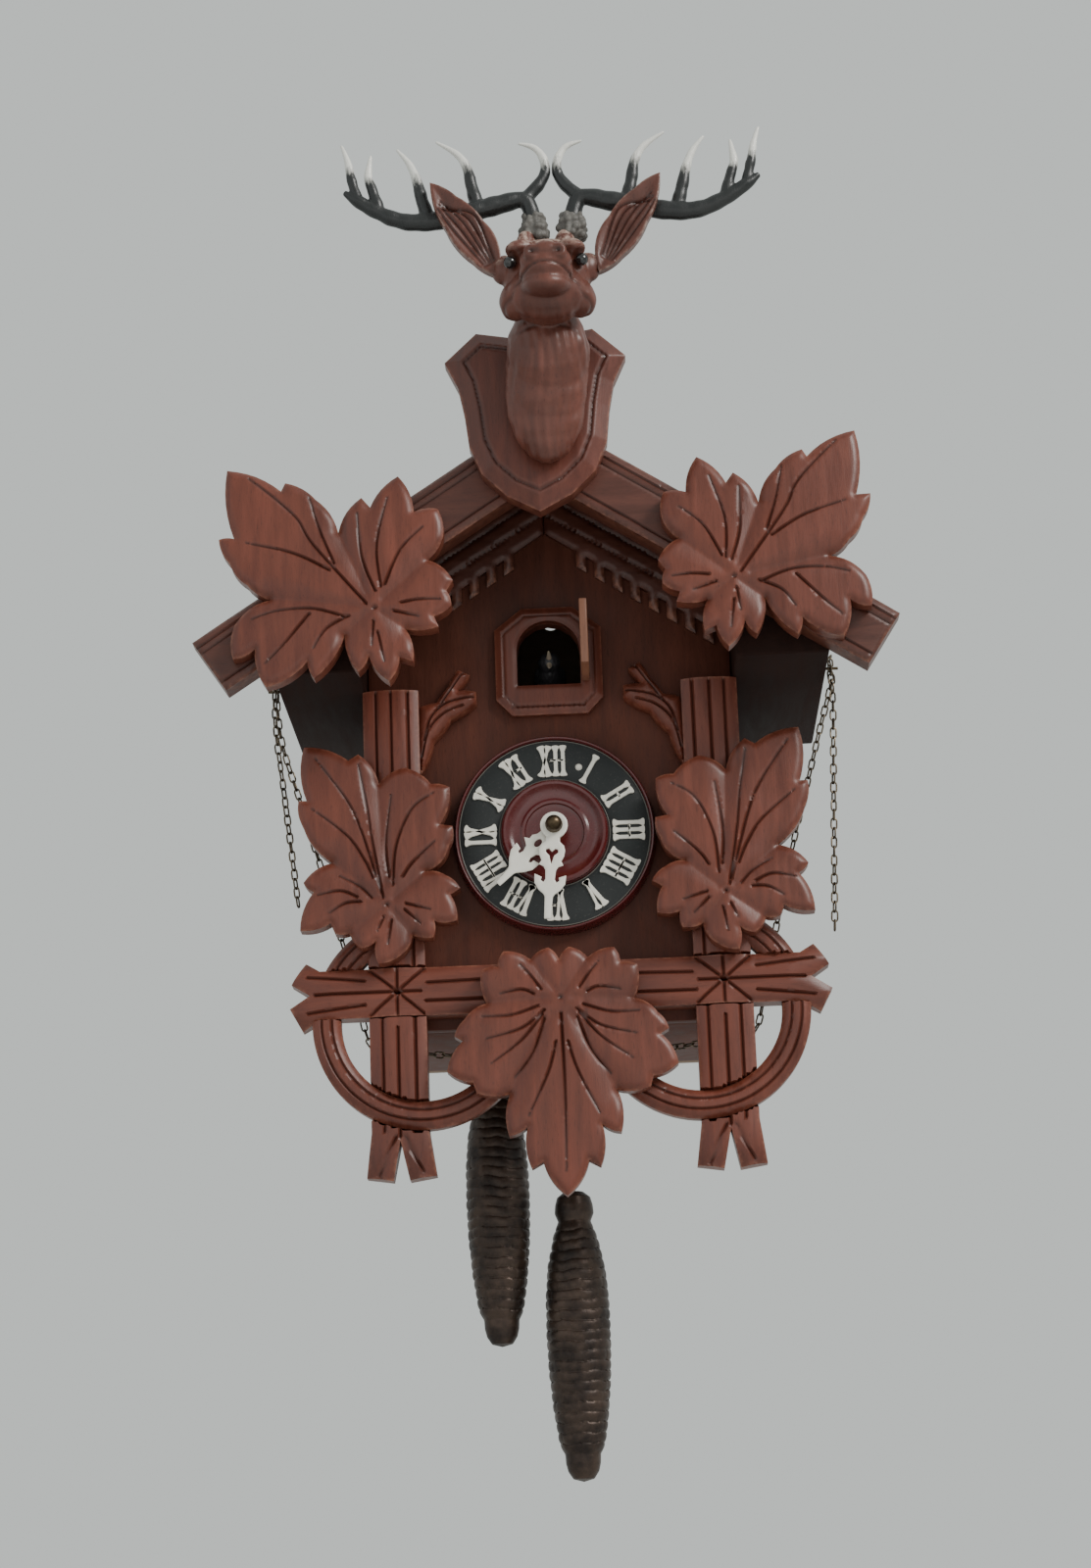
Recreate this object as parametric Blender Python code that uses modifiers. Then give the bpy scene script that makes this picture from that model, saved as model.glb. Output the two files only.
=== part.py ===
"""Cuckoo clock with a carved front, two chain-driven weights and a stag's head.

The origin is the hanger hole in the back of the case, on the wall's surface. X runs to the
right seen from the front, the clock faces -Y and +Z is up. Lengths in the tables are
millimetres, and heights there are counted from the centre of the dial.
"""

import math

import bmesh
import bpy
from mathutils import Matrix, Vector

MM = 0.001
DIAL_Z = -150.0          # dial centre below the hanger hole
GAP = 0.3                # clearance between pieces that touch

# Case
CASE_HALF = 92.0
CASE_BOTTOM = -96.0
BOARD = 8.0
FRONT = -118.0           # front face of the front board
BACK_BOARD = 6.0
SLOPE = 0.652            # fall of the roof per unit of width
RIDGE = 203.6            # height of the barge boards' upper edge at the middle
ROOF_TOP = 3.0           # drop from the ridge line to the roof boards' upper face
ROOF_UNDER = 12.6        # drop from the ridge line to the roof boards' under face
ROOF_END = {"left": 135.5, "right": 139.0}
SOFFIT = 76.0            # height of the boxed eaves' flat underside
BARGE_DROP = 36.4
BARGE_END = 173.5
BARGE_FRONT = -180.0
BARGE_BACK = -165.0
HANGER_R = 5.0

# Carved front
LOG_FRONT = -133.0
POST_X = 80.0
POST_HALF = 14.0
CROSS_H = -78.7
BAR_HALF = 12.0
HOOP_X = 68.0
HOOP_H = -93.0
HOOP_R = (40.0, 54.0)
HOOP_BACK = -123.0
LEAF_T = 12.0

# Doorway and dial
DOOR_HALF = 16.0
DOOR_SILL = 78.0
DOOR_SPRING = 96.0       # height at which the doorway's arch starts
DOOR_RISE = 16.0
DIAL_R = 49.5
CHAPTER_R = (27.3, 47.7)
MINUTE_ANGLE = 186.0     # half past seven, clockwise from twelve
HOUR_ANGLE = 225.5

# Movement
PLATE_FRONT = -92.0
PLATE_BACK = -30.0
WHEEL_X = {"left": -24.0, "right": 14.0}
WHEEL_H = -20.0
CHAIN_R = 2.0
CHAIN_PITCH_R = 12.5
CHAIN_Y = -60.0
WEIGHT_TOP = {"left": -103.0, "right": -170.0}
WEIGHT_LENGTH = 143.0
NAIL = (-120.0, 81.0)    # y and height of the nails in the eaves' sides
HEAD_X = 8.0             # the head, ears and antlers sit to the right of the shield
EAR_X = 9.0
ANTLER_X = 12.0

# Leaves: corners about the point where the veins meet
TOP_LEAF_PLACE = {"left": (-82.6, 100.0, 0.0, 1.07), "right": (93.0, 108.5, 3.0, 1.0)}
MIDDLE_LEAF_PLACE = {"left": (-83.0, -37.5, 0.0, 1.0), "right": (83.0, -37.5, 0.0, 1.0)}
TOP_LEAF = [
    (67, 71), (64, 37), (71, 37), (66, 25), (58, 14), (48, 7), (64, -5), (65, -21),
    (55, -17), (50, -35), (31, -24), (28, -32), (14, -12), (8, -30), (3, -23), (-6, -35),
    (-11, -24), (-17, -26), (-14, -10), (-29, -10), (-27, -5), (-35, 0), (-33, 7),
    (-36, 12), (-25, 23), (-32, 33), (-30, 47), (-19, 46), (-12, 64), (1, 49), (5, 54),
    (16, 38), (26, 54), (40, 63), (42, 59),
]
MIDDLE_LEAF = [
    (40, 83), (39, 55), (43, 55), (41, 42), (27, 23), (41, 13), (36, 8), (43, -11),
    (28, -8), (26, -13), (19, -13), (13, -21), (6, -18), (5, -29), (-5, -26), (-11, -19),
    (-12, -15), (-22, -17), (-23, -9), (-34, -9), (-31, 4), (-36, 7), (-29, 14), (-19, 17),
    (-26, 20), (-31, 29), (-33, 39), (-27, 40), (-32, 59), (-23, 61), (-10, 70), (3, 63),
    (13, 78), (18, 75),
]
BOTTOM_LEAF_HALF = [
    (0, -96), (11, -79.5), (16.5, -82.5), (18, -62.5), (27, -66.5), (26, -46), (42, -45),
    (43.5, -40), (56, -34), (48, -19.5), (52, -17), (47, -9), (36, -1), (38, 15),
    (30, 16.5), (27, 24), (14, 20), (5, 25), (0, 19),
]
SHIELD_HALF = [
    (0, 146.5), (16, 155), (28, 167), (34, 182), (36, 200), (38.5, 213), (45, 227),
    (29, 242), (0, 237),
]
TWIG = [
    (65.7, 68), (57, 70), (51, 78), (46, 87), (40, 84), (46, 76), (37, 75), (37, 69),
    (50, 61), (59, 50), (65.7, 33),
]
EAR = [(22, 252), (34, 260), (47, 278), (54, 303), (41, 295), (28, 281), (21, 268)]

# Antlers: runs of (x, height, radius) from the middle of the head
BEAM = [
    (9.4, 286, 3.6), (13.7, 297, 3.4), (26.5, 294.6, 4.0), (36.5, 292, 4.0),
    (46.5, 289, 4.0), (60.8, 286, 3.8), (73.6, 286.3, 3.4), (85, 291, 3.0),
    (95, 297, 2.6), (102, 302, 1.0),
]
TINES = [
    [(14, 297, 3.0), (6.6, 305, 2.6), (3, 312, 2.2), (3.7, 319.5, 1.8), (8, 325.4, 1.3),
     (15.8, 327.8, 0.6)],
    [(36.5, 292, 3.0), (39.4, 305, 2.6), (41.5, 315, 2.0), (46.5, 322.5, 1.4),
     (56.5, 329, 0.6)],
    [(60.8, 286, 3.0), (64.4, 300, 2.6), (66.5, 309, 2.0), (70, 317.5, 1.4),
     (75.8, 325, 0.6)],
    [(85, 291, 2.8), (87.9, 302.5, 2.2), (90, 309.7, 1.8), (89.3, 316.8, 1.2),
     (88.6, 322, 0.6)],
    [(95, 297, 2.2), (98.2, 308.6, 2.0), (100, 318.6, 1.4), (102.9, 327.6, 0.6)],
]
ANTLER_Y = -222.0
ANTLER_LEAN = 0.08       # forward lean of the beam per unit of width

# Stag: (y, height, half width, half height) of the sections from the shield to the nose
STAG = [
    (-195.3, 203, 21, 37), (-206, 205, 22, 38), (-216, 220, 21, 42), (-224, 240, 21, 42),
    (-234, 250, 23, 31), (-246, 251, 19, 21), (-258, 249, 15, 14), (-266, 248, 11, 10),
]
STAG_SIDES = 16

# Route of the free end of the right chain, outside the case
FREE_CHAIN = [
    (26.5, -60, -90), (28, -62, -99), (44, -74, -102), (62, -86, -102.5), (80, -96, -102),
    (95, -99, -99), (101, -101, -80), (106.5, -103, -56), (117, -107, -14),
    (128, -111, 25), (136, -114, 53),
]
OVER_NAIL = [(-116, 73), (-116, 81), (-120, 86.2), (-124, 81), (-124, 60)]
TAIL_END = {"left": (-128.0, -36.0), "right": (136.0, -58.0)}
CHAIN_STEP = 10.0

for old in list(bpy.data.objects):
    bpy.data.objects.remove(old, do_unlink=True)

clock = bpy.data.collections.new("cuckoo_clock")
cutters = bpy.data.collections.new("cutters")
for group in (clock, cutters):
    bpy.context.scene.collection.children.link(group)


def material(name, colour, roughness, metallic=0.0):
    finish = bpy.data.materials.new(name)
    finish.use_nodes = True
    shader = finish.node_tree.nodes["Principled BSDF"]
    shader.inputs["Base Color"].default_value = (*colour, 1.0)
    shader.inputs["Roughness"].default_value = roughness
    shader.inputs["Metallic"].default_value = metallic
    return finish


WOOD = material("carved_wood", (0.20, 0.060, 0.035), 0.45)
BOARD_WOOD = material("case_wood", (0.13, 0.045, 0.028), 0.55)
PLY = material("plain_wood", (0.22, 0.15, 0.10), 0.7)
MAROON = material("maroon_plastic", (0.10, 0.014, 0.014), 0.3)
BLACK = material("black_plastic", (0.008, 0.012, 0.013), 0.4)
WHITE = material("white_plastic", (0.75, 0.74, 0.70), 0.4)
HORN = material("antler_plastic", (0.02, 0.026, 0.026), 0.45)
IRON = material("cast_iron", (0.05, 0.036, 0.03), 0.5, 0.6)
STEEL = material("dark_wire", (0.06, 0.05, 0.04), 0.45, 0.9)
BRASS = material("brass", (0.55, 0.38, 0.14), 0.35, 1.0)
BIRD = material("painted_bird", (0.02, 0.02, 0.025), 0.5)


def roof_line(x, drop):
    return RIDGE - SLOPE * abs(x) - drop


def at(x, y, height):
    return Vector((x, y, height + DIAL_Z)) * MM


def mesh_object(name, mesh, finish, group=clock):
    thing = bpy.data.objects.new(name, mesh)
    group.objects.link(thing)
    mesh.materials.clear()
    if finish:
        mesh.materials.append(finish)
    return thing


def curve_to_mesh(name, curve, finish, turn=Matrix()):
    """Turn a curve into a welded mesh object; the curve object is removed."""
    guide = bpy.data.objects.new(name + "_curve", curve)
    clock.objects.link(guide)
    guide.matrix_world = turn
    depsgraph = bpy.context.evaluated_depsgraph_get()
    mesh = bpy.data.meshes.new_from_object(guide.evaluated_get(depsgraph))
    mesh.transform(turn)
    bpy.data.objects.remove(guide)
    shape = bmesh.new()
    shape.from_mesh(mesh)
    bmesh.ops.remove_doubles(shape, verts=shape.verts, dist=0.000001)
    bmesh.ops.recalc_face_normals(shape, faces=shape.faces)
    shape.to_mesh(mesh)
    shape.free()
    return mesh_object(name, mesh, finish)


def plate(name, outlines, front, thickness, finish):
    """A flat piece: closed outlines in (x, height), from y = front back by thickness."""
    curve = bpy.data.curves.new(name, "CURVE")
    curve.dimensions = "2D"
    curve.fill_mode = "BOTH"
    curve.extrude = thickness / 2
    for outline in outlines:
        spline = curve.splines.new("POLY")
        spline.points.add(len(outline) - 1)
        for point, (x, height) in zip(spline.points, outline):
            point.co = (x, height + DIAL_Z, 0, 1)
        spline.use_cyclic_u = True
    middle = (front + thickness / 2) * MM
    turn = (Matrix.Translation((0, middle, 0)) @ Matrix.Rotation(math.pi / 2, 4, "X")
            @ Matrix.Scale(MM, 4))
    return curve_to_mesh(name, curve, finish, turn)


def tube(name, points, finish, radius=1.0, sides=2):
    """A round bar through (x, y, height) points, or (x, y, height, radius) points."""
    curve = bpy.data.curves.new(name, "CURVE")
    curve.dimensions = "3D"
    curve.bevel_depth = MM
    curve.bevel_resolution = sides
    curve.use_fill_caps = True
    spline = curve.splines.new("POLY")
    spline.points.add(len(points) - 1)
    for point, place in zip(spline.points, points):
        point.co = (*at(*place[:3]), 1)
        point.radius = place[3] if len(place) > 3 else radius
    return curve_to_mesh(name, curve, finish)


def box(name, low, high, finish, group=clock):
    mesh = bpy.data.meshes.new(name)
    shape = bmesh.new()
    bmesh.ops.create_cube(shape, size=1.0)
    size = [b - a for a, b in zip(low, high)]
    middle = [(a + b) / 2 for a, b in zip(low, high)]
    bmesh.ops.scale(shape, vec=[s * MM for s in size], verts=shape.verts)
    bmesh.ops.translate(shape, vec=at(*middle), verts=shape.verts)
    shape.to_mesh(mesh)
    shape.free()
    return mesh_object(name, mesh, finish, group)


def turned(name, profile, centre, axis, finish, steps=32, closed=False):
    """A turned piece: (radius, distance) points, top to bottom, about an axis."""
    mesh = bpy.data.meshes.new(name)
    edges = [(i, i + 1) for i in range(len(profile) - 1)]
    if closed:
        edges.append((len(profile) - 1, 0))
    mesh.from_pydata([(r * MM, 0, along * MM) for r, along in profile], edges, [])
    thing = mesh_object(name, mesh, finish)
    thing.location = centre
    if axis == "Y":
        thing.rotation_euler = (math.pi / 2, 0, 0)
    screw = thing.modifiers.new("turn", "SCREW")
    screw.steps = steps
    screw.render_steps = steps
    screw.use_merge_vertices = True
    screw.merge_threshold = 0.00001
    screw.use_smooth_shade = True
    return thing


def baked(thing):
    """Apply an object's modifiers and its place to its mesh."""
    depsgraph = bpy.context.evaluated_depsgraph_get()
    mesh = bpy.data.meshes.new_from_object(thing.evaluated_get(depsgraph))
    mesh.transform(thing.matrix_world)
    name = thing.name
    finish = thing.data.materials[0] if thing.data.materials else None
    group = thing.users_collection[0]
    bpy.data.objects.remove(thing)
    return mesh_object(name, mesh, finish, group)


def combine(target, tool, operation):
    """Cut a tool out of a piece, or join it on, and take the tool away."""
    step = target.modifiers.new(operation.lower(), "BOOLEAN")
    step.operation = operation
    step.solver = "EXACT"
    step.object = tool
    target = baked(target)
    bpy.data.objects.remove(tool)
    return target


def hinge_at(thing, place):
    """Move a piece's origin onto its joint axis."""
    thing.data.transform(Matrix.Translation(-place))
    thing.location = place
    return thing


def arc(centre_x, centre_h, radius, start, end, steps):
    points = []
    for step in range(steps + 1):
        angle = math.radians(start + (end - start) * step / steps)
        points.append((centre_x + radius * math.cos(angle), centre_h + radius * math.sin(angle)))
    return points


def flip(points):
    return [(-x, *rest) for x, *rest in points]


def shifted(points, dx, dh):
    return [(x + dx, height + dh) for x, height in points]


def doorway(half, sill, rise):
    """A doorway's outline: straight sides under an arch."""
    points = [(-half, sill), (half, sill)]
    for step in range(9):
        angle = math.pi * step / 8
        points.append((half * math.cos(angle), DOOR_SPRING + rise * math.sin(angle)))
    return points


def gable(drop):
    half = CASE_HALF
    return [(-half, CASE_BOTTOM), (half, CASE_BOTTOM), (half, roof_line(half, drop)),
            (0, roof_line(0, drop)), (-half, roof_line(half, drop))]


def build_case():
    under = ROOF_UNDER + GAP
    hole = arc(0, 0, 6.0, 0, 345, 23)
    door_hole = doorway(DOOR_HALF, DOOR_SILL, DOOR_RISE)
    plate("front_board", [gable(under), hole, door_hole], FRONT, BOARD, BOARD_WOOD)
    hanger = arc(0, -DIAL_Z, HANGER_R, 0, 345, 23)
    plate("back_board", [gable(under), hanger], -BACK_BOARD, BACK_BOARD, PLY)
    inner = CASE_HALF - BOARD
    rear = -BACK_BOARD - GAP
    depth = rear - (FRONT + BOARD + GAP)
    for side, sign in (("left", -1), ("right", 1)):
        wall = [(inner, CASE_BOTTOM), (CASE_HALF, CASE_BOTTOM),
                (CASE_HALF, roof_line(CASE_HALF, under)), (inner, roof_line(inner, under))]
        outline = wall if sign > 0 else flip(wall)
        plate("side_wall_" + side, [outline], FRONT + BOARD + GAP, depth, BOARD_WOOD)
        eave = CASE_HALF + GAP
        end = ROOF_END[side]
        outline = [(GAP / 2, roof_line(0, ROOF_TOP)), (end, roof_line(end, ROOF_TOP)),
                   (end, SOFFIT), (eave, SOFFIT), (eave, roof_line(eave, ROOF_UNDER)),
                   (GAP / 2, roof_line(0, ROOF_UNDER))]
        outline = outline if sign > 0 else flip(outline)
        plate("roof_board_" + side, [outline], BARGE_BACK + GAP, -BARGE_BACK - GAP, BOARD_WOOD)
        normal = Vector((SLOPE, 1)).normalized()
        corner = Vector((BARGE_END, roof_line(BARGE_END, 0)))
        low = corner - normal * BARGE_DROP * normal.y
        outline = [(GAP / 2, RIDGE), tuple(corner), tuple(low), (GAP / 2, RIDGE - BARGE_DROP)]
        outline = outline if sign > 0 else flip(outline)
        plate("barge_board_" + side, [outline], BARGE_FRONT, BARGE_BACK - BARGE_FRONT, WOOD)
    floor = box("bottom_board", (-inner + GAP, FRONT + BOARD + GAP, CASE_BOTTOM),
                (inner - GAP, rear, CASE_BOTTOM + BOARD), BOARD_WOOD)
    for side, x in WHEEL_X.items():
        reach = CHAIN_PITCH_R + 5
        slot = box("slot_" + side, (x - reach, CHAIN_Y - 7, CASE_BOTTOM - 5),
                   (x + reach, CHAIN_Y + 7, CASE_BOTTOM + BOARD + 5), None, cutters)
        floor = combine(floor, slot, "DIFFERENCE")


def build_dentils():
    """Moulding with a row of teeth under each slope of the roof."""
    upper, lower, tooth = ROOF_UNDER + 2 * GAP, 44.0, 8.0
    for side, sign in (("left", -1), ("right", 1)):
        outline = [(GAP, roof_line(0, upper)), (90, roof_line(90, upper)),
                   (90, roof_line(90, lower))]
        for step in range(8):
            outer, inner = 84 - 9 * step, 79 - 9 * step
            outline += [(outer, roof_line(outer, lower)), (outer, roof_line(outer, lower + tooth)),
                        (inner, roof_line(inner, lower + tooth)), (inner, roof_line(inner, lower))]
        outline.append((GAP, roof_line(0, lower)))
        outline = outline if sign > 0 else flip(outline)
        plate("dentil_strip_" + side, [outline], FRONT - GAP - 6, 6.0, WOOD)


def build_logs():
    """Upright and cross logs, half-lapped where they meet, and the hoops through them."""
    depth = FRONT - GAP - LOG_FRONT
    mid = LOG_FRONT + depth / 2
    for side, sign in (("left", -1), ("right", 1)):
        post = [(-14, 75.6), (-14, -148), (-17, -169), (-4, -171), (0, -152), (4, -171),
                (17, -169), (14, -148), (14, 75.6)]
        post = [(x + POST_X, height) for x, height in post]
        tip = POST_X + 52
        bar = [(30, CROSS_H - 12), (30, CROSS_H + 12), (tip - 14, CROSS_H + 12),
               (tip - 7, CROSS_H + 17), (tip, CROSS_H + 6), (tip - 9, CROSS_H),
               (tip + 1, CROSS_H - 6), (tip - 5, CROSS_H - 17), (tip - 14, CROSS_H - 12)]
        outer = arc(HOOP_X, HOOP_H, HOOP_R[1], 65, -145, 28)
        inner = arc(HOOP_X, HOOP_H, HOOP_R[0], -145, 65, 28)
        if sign < 0:
            post, bar, outer, inner = flip(post), flip(bar), flip(outer), flip(inner)
        post = plate("post_" + side, [post], LOG_FRONT, depth, WOOD)
        bar = plate("cross_bar_" + side, [bar], LOG_FRONT, depth, WOOD)
        hoop = plate("hoop_" + side, [outer + inner], LOG_FRONT, HOOP_BACK - LOG_FRONT, WOOD)
        x = sign * POST_X
        wide, high = POST_HALF + GAP, BAR_HALF + GAP
        lap = box("lap", (x - wide - 5, LOG_FRONT - 5, CROSS_H - high),
                  (x + wide + 5, mid + GAP / 2, CROSS_H + high), None, cutters)
        post = combine(post, lap, "DIFFERENCE")
        lap = box("lap", (x - wide, mid - GAP / 2, CROSS_H - 20),
                  (x + wide, FRONT + 5, CROSS_H + 20), None, cutters)
        bar = combine(bar, lap, "DIFFERENCE")
        groove = [arc(HOOP_X, HOOP_H, HOOP_R[1] + GAP, 0, 352, 44),
                  arc(HOOP_X, HOOP_H, HOOP_R[0] - GAP, 0, 352, 44)]
        if sign < 0:
            groove = [flip(ring) for ring in groove]
        cut = plate("groove", groove, LOG_FRONT - 5, HOOP_BACK + GAP - LOG_FRONT + 5, None)
        post = combine(post, cut, "DIFFERENCE")
        lap_y = -128.0
        cut = plate("groove", groove, lap_y - GAP / 2, 12.0, None)
        bar = combine(bar, cut, "DIFFERENCE")
        low, high = sorted((sign * 20, sign * 145))
        lap = box("lap", (low, LOG_FRONT - 5, CROSS_H - 19),
                  (high, lap_y + GAP / 2, CROSS_H + 19), None, cutters)
        combine(hoop, lap, "DIFFERENCE")
        twig = TWIG if sign > 0 else flip(TWIG)
        plate("twig_" + side, [twig], FRONT - GAP - 11, 11.0, WOOD)


def build_leaves():
    for side, sign in (("left", -1), ("right", 1)):
        for name, leaf, places, back in (
            ("top_leaf_", TOP_LEAF, TOP_LEAF_PLACE, BARGE_FRONT),
            ("middle_leaf_", MIDDLE_LEAF, MIDDLE_LEAF_PLACE, LOG_FRONT),
        ):
            x, height, turn, size = places[side]
            spin = Matrix.Rotation(math.radians(turn), 2) * size
            outline = [tuple(spin @ Vector(p)) for p in (leaf if sign > 0 else flip(leaf))]
            outline = shifted(outline, x, height)
            plate(name + side, [outline], back - GAP - LEAF_T, LEAF_T, WOOD)
    half = shifted(BOTTOM_LEAF_HALF, 0, -87)
    outline = half + flip(half[-2:0:-1])
    plate("bottom_leaf", [outline], LOG_FRONT - GAP - LEAF_T, LEAF_T, WOOD)


def build_doorway():
    outer = [(-19, 62.5), (19, 62.5), (27, 71), (27, 108), (13, 119), (-13, 119), (-27, 108),
             (-27, 71)]
    opening = doorway(DOOR_HALF, DOOR_SILL, DOOR_RISE)
    plate("door_frame", [outer, opening], FRONT - GAP - 5.7, 5.7, WOOD)
    axis_x, axis_y, thick, wide = 16.4, -124.4, 4.0, 32.4
    panel = box("cuckoo_door", (axis_x + 0.2, axis_y - wide, DOOR_SILL + 0.5),
                (axis_x + 0.2 + thick, axis_y - 0.3, DOOR_SPRING + DOOR_RISE), WOOD)
    hinge_at(panel, at(axis_x, axis_y, DOOR_SILL))
    body = turned("cuckoo_bird", [(0, 13), (4.5, 11), (6.5, 5), (6.8, 0), (5.5, -7), (2.5, -14),
                                  (0, -16)], at(0, -90, 92), "Y", BIRD, 16)
    body.rotation_euler = (math.pi / 2 + 0.5, 0, 0)
    tube("bird_arm", [(0, -98, 80.5), (0, -50, 80.5)], STEEL, 1.5)


def build_dial():
    centre = at(0, 0, 0)
    back, floor, rim = 118.3, 124.0, 127.0
    profile = [(3.9, 126.0), (14, 126.0), (15, 127.5), (22, 128), (24, 130), (26.8, 129),
               (27, floor), (48, floor), (48.3, rim), (DIAL_R, rim - 1), (DIAL_R, back),
               (3.9, back)]
    turned("dial_dish", profile, centre, "Y", MAROON, 48, closed=True)
    low, high = CHAPTER_R
    ring = [(low, floor + 1.3), (high, floor + 1.3), (high, floor + GAP), (low, floor + GAP)]
    turned("numeral_ring", ring, centre, "Y", BLACK, 48, closed=True)


def hand(name, length, hub, hole, angle, front):
    """A fretted hand: round hub, a leaf-shaped swelling and a long point."""
    half = [(2.6, 0.0), (4.0, 0.28), (2.2, 0.42), (6.5, 0.55), (2.4, 0.64), (4.6, 0.72),
            (1.9, 0.76), (0.5, 1.0)]
    right = [(x, hub + 0.2 + (length - hub) * f) if f else (x, math.sqrt(hub**2 - x**2))
             for x, f in half]
    left = flip(right[::-1])
    start = math.degrees(math.atan2(right[0][1], -right[0][0]))
    end = math.degrees(math.atan2(right[0][1], right[0][0])) + 360
    round_hub = arc(0, 0, hub, start, end, 16)[1:-1]
    turn = Matrix.Rotation(-math.radians(angle), 2)
    outlines = [right + left + round_hub, arc(0, 0, hole, 0, 345, 15)]
    outlines = [[tuple(turn @ Vector(p)) for p in line] for line in outlines]
    piece = plate(name, outlines, front, 1.2, WHITE)
    return hinge_at(piece, at(0, 0, 0))


def gear(name, teeth, radius, height, front, thickness, centre, hole, finish):
    """A toothed wheel with trapezoid teeth; height is the tooth height either side."""
    points = []
    for tooth in range(teeth):
        for part, r in ((-0.30, radius - height), (-0.16, radius + height),
                        (0.16, radius + height), (0.30, radius - height)):
            angle = 2 * math.pi * (tooth + part) / teeth
            points.append((centre[0] + r * math.cos(angle), centre[1] + r * math.sin(angle)))
    outlines = [points]
    if hole:
        outlines.append(arc(*centre, hole, 0, 345, 15))
    return plate(name, outlines, front, thickness, finish)


def build_motion_work():
    """Pinions and wheels that turn the hour hand once for twelve turns of the minute hand."""
    centre = at(0, 0, 0)
    stud = (0.0, -12.0)
    pinion = gear("cannon_pinion", 12, 3.0, 0.42, -98.5, 3.0, (0, 0), 0, BRASS)
    turn = math.pi / 12
    pinion.data.transform(Matrix.Translation(centre) @ Matrix.Rotation(turn, 4, "Y")
                          @ Matrix.Translation(-centre))
    pipe = turned("pipe", [(0, 141.6), (2.3, 141.6), (2.3, 97), (2.0, 96.5), (2.0, 88),
                           (0, 88)], centre, "Y", BRASS, 24)
    bpy.context.view_layer.update()
    pinion = combine(pinion, baked(pipe), "UNION")
    hinge_at(pinion, centre)
    wheel = gear("minute_wheel", 36, 9.0, 0.42, -98.0, 2.0, stud, 0, BRASS)
    small = gear("small_pinion", 10, 2.4, 0.4, -103.0, 6.0, stud, 0, BRASS)
    wheel = combine(wheel, small, "UNION")
    peg = turned("peg", [(0, 97), (1.2, 97), (1.2, 89), (0, 89)], at(stud[0], 0, stud[1]),
                 "Y", BRASS, 16)
    bpy.context.view_layer.update()
    wheel = combine(wheel, baked(peg), "UNION")
    hinge_at(wheel, at(stud[0], 0, stud[1]))
    hour = gear("hour_wheel", 40, 9.6, 0.4, -102.0, 2.0, (0, 0), 2.6, BRASS)
    pipe = turned("pipe", [(2.6, 138.4), (3.5, 138.4), (3.5, 101), (2.6, 101)], centre, "Y",
                  BRASS, 24, closed=True)
    bpy.context.view_layer.update()
    hour = combine(hour, baked(pipe), "UNION")
    hinge_at(hour, centre)
    hand("hour_hand", 40.0, 6.0, 3.8, HOUR_ANGLE, -138.2)
    hand("minute_hand", 47.5, 5.5, 2.6, MINUTE_ANGLE, -141.2)
    turned("hand_nut", [(0, 149), (2.4, 148.6), (3.4, 147), (3.6, 142.2), (0, 142.0)], centre,
           "Y", BRASS, 24)


def build_movement():
    floor = CASE_BOTTOM + BOARD + GAP
    outline = [(-48, floor), (38, floor), (38, 50), (-48, 50)]
    holes = [arc(x, WHEEL_H, 1.8, 0, 345, 15) for x in WHEEL_X.values()]
    front_holes = [*holes, arc(0, 0, 2.2, 0, 345, 15), arc(0, -12, 1.4, 0, 345, 15)]
    plate("movement_front_plate", [outline, *front_holes], PLATE_FRONT, 1.5, BRASS)
    rear = plate("movement_back_plate", [outline, *holes], PLATE_BACK, 1.5, BRASS)
    for x in (-43, 33.5):
        for height in (-70, 44):
            start = -PLATE_FRONT - 1.5 - GAP
            pillar = turned("pillar", [(0, start), (3, start), (3, 29.5), (0, 29.5)],
                            at(x, 0, height), "Y", BRASS, 12)
            bpy.context.view_layer.update()
            rear = combine(rear, baked(pillar), "UNION")
    for side, x in WHEEL_X.items():
        groove, flange, half = 10.0, 11.6, 2.6
        y = -CHAIN_Y
        profile = [(0, 91.5), (1.6, 91.5), (1.6, 89), (2.6, 88), (2.6, y + half + 2),
                   (flange, y + half + 2), (flange, y + half), (groove, y + half),
                   (groove, y - half), (flange, y - half), (flange, y - half - 2),
                   (2.6, y - half - 2), (2.6, 31), (1.6, 30.4), (1.6, 28.9), (0, 28.9)]
        turned("chain_wheel_" + side, profile, at(x, 0, WHEEL_H), "Y", BRASS, 24)
    for side, sign in (("left", -1), ("right", 1)):
        low, high = sorted((sign * 58, sign * 80))
        box("whistle_" + side, (low, -80, CASE_BOTTOM + BOARD + GAP), (high, -50, 40), PLY)
        top = box("bellows_top_" + side, (low, -88, 40.3), (high, -36, 46), PLY)
        hinge_at(top, at(sign * 69, -36, 40.3))


def smooth_route(points, step):
    """Points about step apart on a smooth curve through the given ones."""
    route = [Vector(p) for p in points]
    dense = []
    for i in range(len(route) - 1):
        a = route[max(i - 1, 0)]
        b, c = route[i], route[i + 1]
        d = route[min(i + 2, len(route) - 1)]
        count = max(1, round((c - b).length / step))
        for k in range(count):
            t = k / count
            dense.append(0.5 * (2 * b + (c - a) * t + (2 * a - 5 * b + 4 * c - d) * t**2
                                + (3 * b - a - 3 * c + d) * t**3))
    return [tuple(p) for p in [*dense, route[-1]]]


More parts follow.
